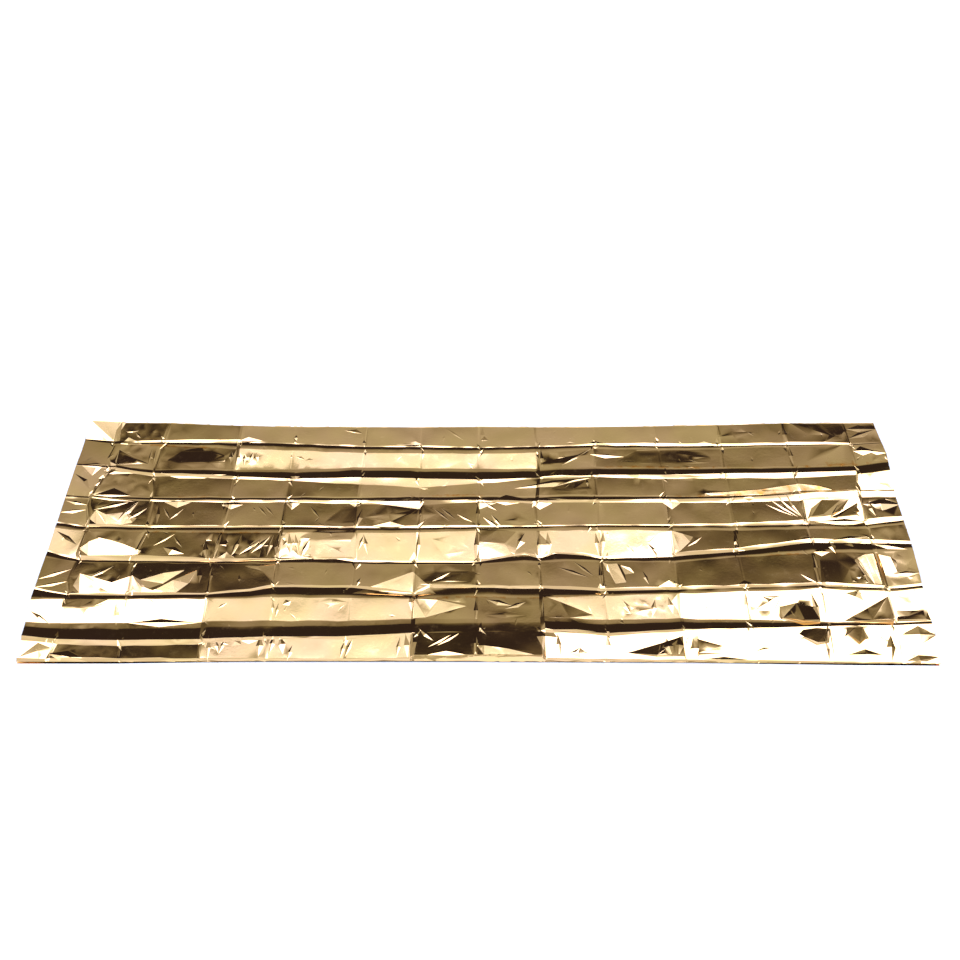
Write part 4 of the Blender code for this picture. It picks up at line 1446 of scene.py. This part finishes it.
@dataclass(frozen=True)
class Studio:
    """The pale floor, the room that lights the sheet and the camera.

    Attributes:
        camera_place, camera_elevation: where the camera stands, and how far it looks down in degrees.
        lens, sensor: its focal length and the width of its frame, in mm.
        slant: how much lower the room ahead lies for each degree to the right.
        peak: the brightest level.
        gap_middle: azimuth of the gap in the top of the light ahead. All of these angles are in degrees.
        gap_from, gap_full: how far to either side of it the gap starts to fade, and has ended.
        aside_from, aside_full: azimuths between which the room ahead passes to its sides.
        end_from, end_full: azimuths between which the sides pass to the end walls.
        floor_size, floor_drop, floor_colour, floor_roughness: the floor.
    """

    camera_place: tuple[float, float, float] = (-0.003, -2.2857, 2.4475)
    camera_elevation: float = 44.68
    lens: float = 51.26
    sensor: float = 36.0
    slant: float = 0.06
    peak: float = 4.0
    floor_size: float = 30.0
    floor_drop: float = 0.0005
    floor_colour: str = "F2F2F0"
    floor_roughness: float = 0.9

    # Light seen at each elevation, from the far horizon (0) over the zenith (90) to the near horizon (180).
    # Ahead, the room is dark up to one broad light, which reaches less high in its gap than beside it.
    ahead_low = (
        (-2, 0.60), (4, 0.20), (9, 0.03), (40.3, 0.03), (41.5, 0.12),
        (42.4, 0.19), (43.6, 0.31), (46, 0.46), (48.8, 0.56), (49.8, 1.10), (52, 1.30), (53.2, 4.0),
    )
    ahead_gap = ahead_low + ((64, 4.0), (67, 1.25), (80, 1.20), (86, 0.80), (104, 0.80), (118, 1.10))
    ahead_open = ahead_low + ((76, 4.0), (82, 1.20), (88, 0.80), (104, 0.80), (118, 1.10))
    # To either side.
    aside = (
        (-2, 0.50), (6, 0.40), (16, 0.45), (26, 0.50), (31, 0.25), (35, 0.12), (40, 0.12), (43, 0.45),
        (46, 1.10), (50, 1.10), (56, 0.25), (66, 0.10), (80, 0.50),
        (90, 4.0), (125, 4.0),
    )
    # Behind the camera, the same for the room ahead and for its sides.
    behind = (
        (130, 0.90), (138, 1.20), (144, 0.35), (149, 0.60), (153, 1.30), (157, 0.30), (161, 0.55),
        (165, 1.20), (169, 0.40), (174, 0.50), (182, 0.50),
    )
    # Light seen at each height above the horizon, at either end of the room.
    end_wall = (
        (-10, 0.50), (5, 0.50), (9, 0.35), (14, 0.60), (18, 1.10), (22, 0.30), (28, 0.50), (34, 1.30),
        (42, 0.40), (60, 0.80), (92, 0.60),
    )
    gap_middle: float = -1.6
    gap_from: float = 6.0
    gap_full: float = 8.0
    aside_from: float = 21.0
    aside_full: float = 28.0
    end_from: float = 52.0
    end_full: float = 66.0

    # Green and blue against red at each level: warm where dim, cooler where bright.
    tints = (
        (0.03, 0.78, 0.90), (0.10, 0.84, 0.62), (0.14, 0.92, 0.64), (0.20, 0.95, 0.72), (0.30, 0.99, 0.86),
        (0.45, 1.04, 1.02), (0.65, 1.07, 1.10), (1.10, 1.10, 1.36), (4.00, 1.08, 1.38),
    )

    def ramp(self, tree: bpy.types.NodeTree, angle: bpy.types.NodeSocket,
             levels: Sequence[tuple[float, float]]) -> bpy.types.Node:
        """Add a ramp of light levels over an angle.

        Args:
            tree: the world's node tree.
            angle: socket with the angle in radians.
            levels: (angle in degrees, level) pairs.

        Returns:
            The ramp node, whose colour is the level as a share of the peak.
        """
        low, high = math.radians(levels[0][0]), math.radians(levels[-1][0])
        share = add_range(tree, angle, low, high)
        ramp = add_node(tree, "ShaderNodeValToRGB", links={0: share.outputs[0]})
        stops = ramp.color_ramp.elements
        while len(stops) > 1:
            stops.remove(stops[-1])
        for index, (degrees, level) in enumerate(levels):
            position = (math.radians(degrees) - low) / (high - low)
            stop = stops[0] if index == 0 else stops.new(position)
            stop.position = position
            known, greens, blues = zip(*self.tints)
            tint = (1.0, float(np.interp(level, known, greens)), float(np.interp(level, known, blues)))
            stop.color = tuple(level * part / self.peak for part in tint) + (1.0,)
        return ramp

    @staticmethod
    def blend(tree: bpy.types.NodeTree, first: bpy.types.Node, second: bpy.types.Node,
              angle: bpy.types.NodeSocket, start: float, full: float) -> bpy.types.Node:
        """Pass from one ramp to another over an angle.

        Args:
            tree: the world's node tree.
            first: the ramp below the start.
            second: the ramp above the full angle.
            angle: socket with the angle in radians.
            start: where the change starts, in degrees.
            full: where it ends.

        Returns:
            The mixing node.
        """
        share = add_node(tree, "ShaderNodeMapRange", {"interpolation_type": "SMOOTHSTEP"},
                         {"From Min": math.radians(start), "From Max": math.radians(full)}, {"Value": angle})
        return add_node(tree, "ShaderNodeMixRGB", links={
            "Fac": share.outputs[0], "Color1": first.outputs["Color"], "Color2": second.outputs["Color"]})

    def build_world(self) -> None:
        """Light the sheet by a room whose brightness changes with direction."""
        world = bpy.data.worlds.new("soft_studio")
        world.use_nodes = True
        tree = world.node_tree
        tree.nodes.clear()
        direction = add_node(tree, "ShaderNodeTexCoord")
        parts = add_node(tree, "ShaderNodeSeparateXYZ", links={0: direction.outputs["Generated"]})
        elevation = add_math(tree, "ARCTAN2", {0: parts.outputs["Z"], 1: parts.outputs["Y"]}).outputs[0]
        azimuth = add_math(tree, "ARCSINE", {0: parts.outputs["X"]}).outputs[0]
        slanted = add_math(tree, "MULTIPLY_ADD", {0: azimuth, 2: elevation}, {1: self.slant}).outputs[0]
        off_gap = add_math(tree, "SUBTRACT", {0: azimuth}, {1: math.radians(self.gap_middle)}).outputs[0]
        from_gap = add_math(tree, "ABSOLUTE", {0: off_gap}).outputs[0]
        swing = add_math(tree, "ABSOLUTE", {0: azimuth}).outputs[0]
        height = add_math(tree, "ARCSINE", {0: parts.outputs["Z"]}).outputs[0]
        ahead = self.blend(tree, self.ramp(tree, slanted, self.ahead_gap + self.behind),
                           self.ramp(tree, slanted, self.ahead_open + self.behind),
                           from_gap, self.gap_from, self.gap_full)
        aside = self.ramp(tree, elevation, self.aside + self.behind)
        both = self.blend(tree, ahead, aside, swing, self.aside_from, self.aside_full)
        ends = self.ramp(tree, height, self.end_wall)
        whole = self.blend(tree, both, ends, swing, self.end_from, self.end_full)
        background = add_node(tree, "ShaderNodeBackground", values={"Strength": self.peak},
                              links={"Color": whole.outputs["Color"]})
        add_node(tree, "ShaderNodeOutputWorld", links={"Surface": background.outputs[0]})
        bpy.context.scene.world = world

    def build_floor(self) -> None:
        """Lay a pale matt floor under the sheet."""
        bpy.ops.mesh.primitive_plane_add(size=self.floor_size, location=(0.0, 0.0, -self.floor_drop))
        floor = bpy.context.object
        floor.name = "floor"
        material = bpy.data.materials.new("matt_white_paint")
        material.use_nodes = True
        shader = material.node_tree.nodes["Principled BSDF"]
        shader.inputs["Base Color"].default_value = linear_colour(self.floor_colour)
        shader.inputs["Roughness"].default_value = self.floor_roughness
        floor.data.materials.append(material)

    def build_camera(self) -> None:
        """Set the camera to look down on the sheet from the front."""
        data = bpy.data.cameras.new("camera")
        data.lens = self.lens
        data.sensor_width = self.sensor
        camera = bpy.data.objects.new("camera", data)
        camera.location = self.camera_place
        camera.rotation_euler = (math.radians(90 - self.camera_elevation), 0.0, 0.0)
        bpy.context.scene.collection.objects.link(camera)
        bpy.context.scene.camera = camera


def main() -> None:
    """Build the blanket and the studio."""
    logging.basicConfig(level=logging.INFO, format="%(name)s: %(message)s")
    film = FoilSheet().build()
    FilmSwell().apply(film, MetallisedPolyester().build())
    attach(film, BODY)
    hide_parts(CAD_NODE)
    studio = Studio()
    studio.build_world()
    studio.build_floor()
    studio.build_camera()
    bpy.context.scene.view_settings.view_transform = "Standard"


if __name__ == "__main__":
    main()
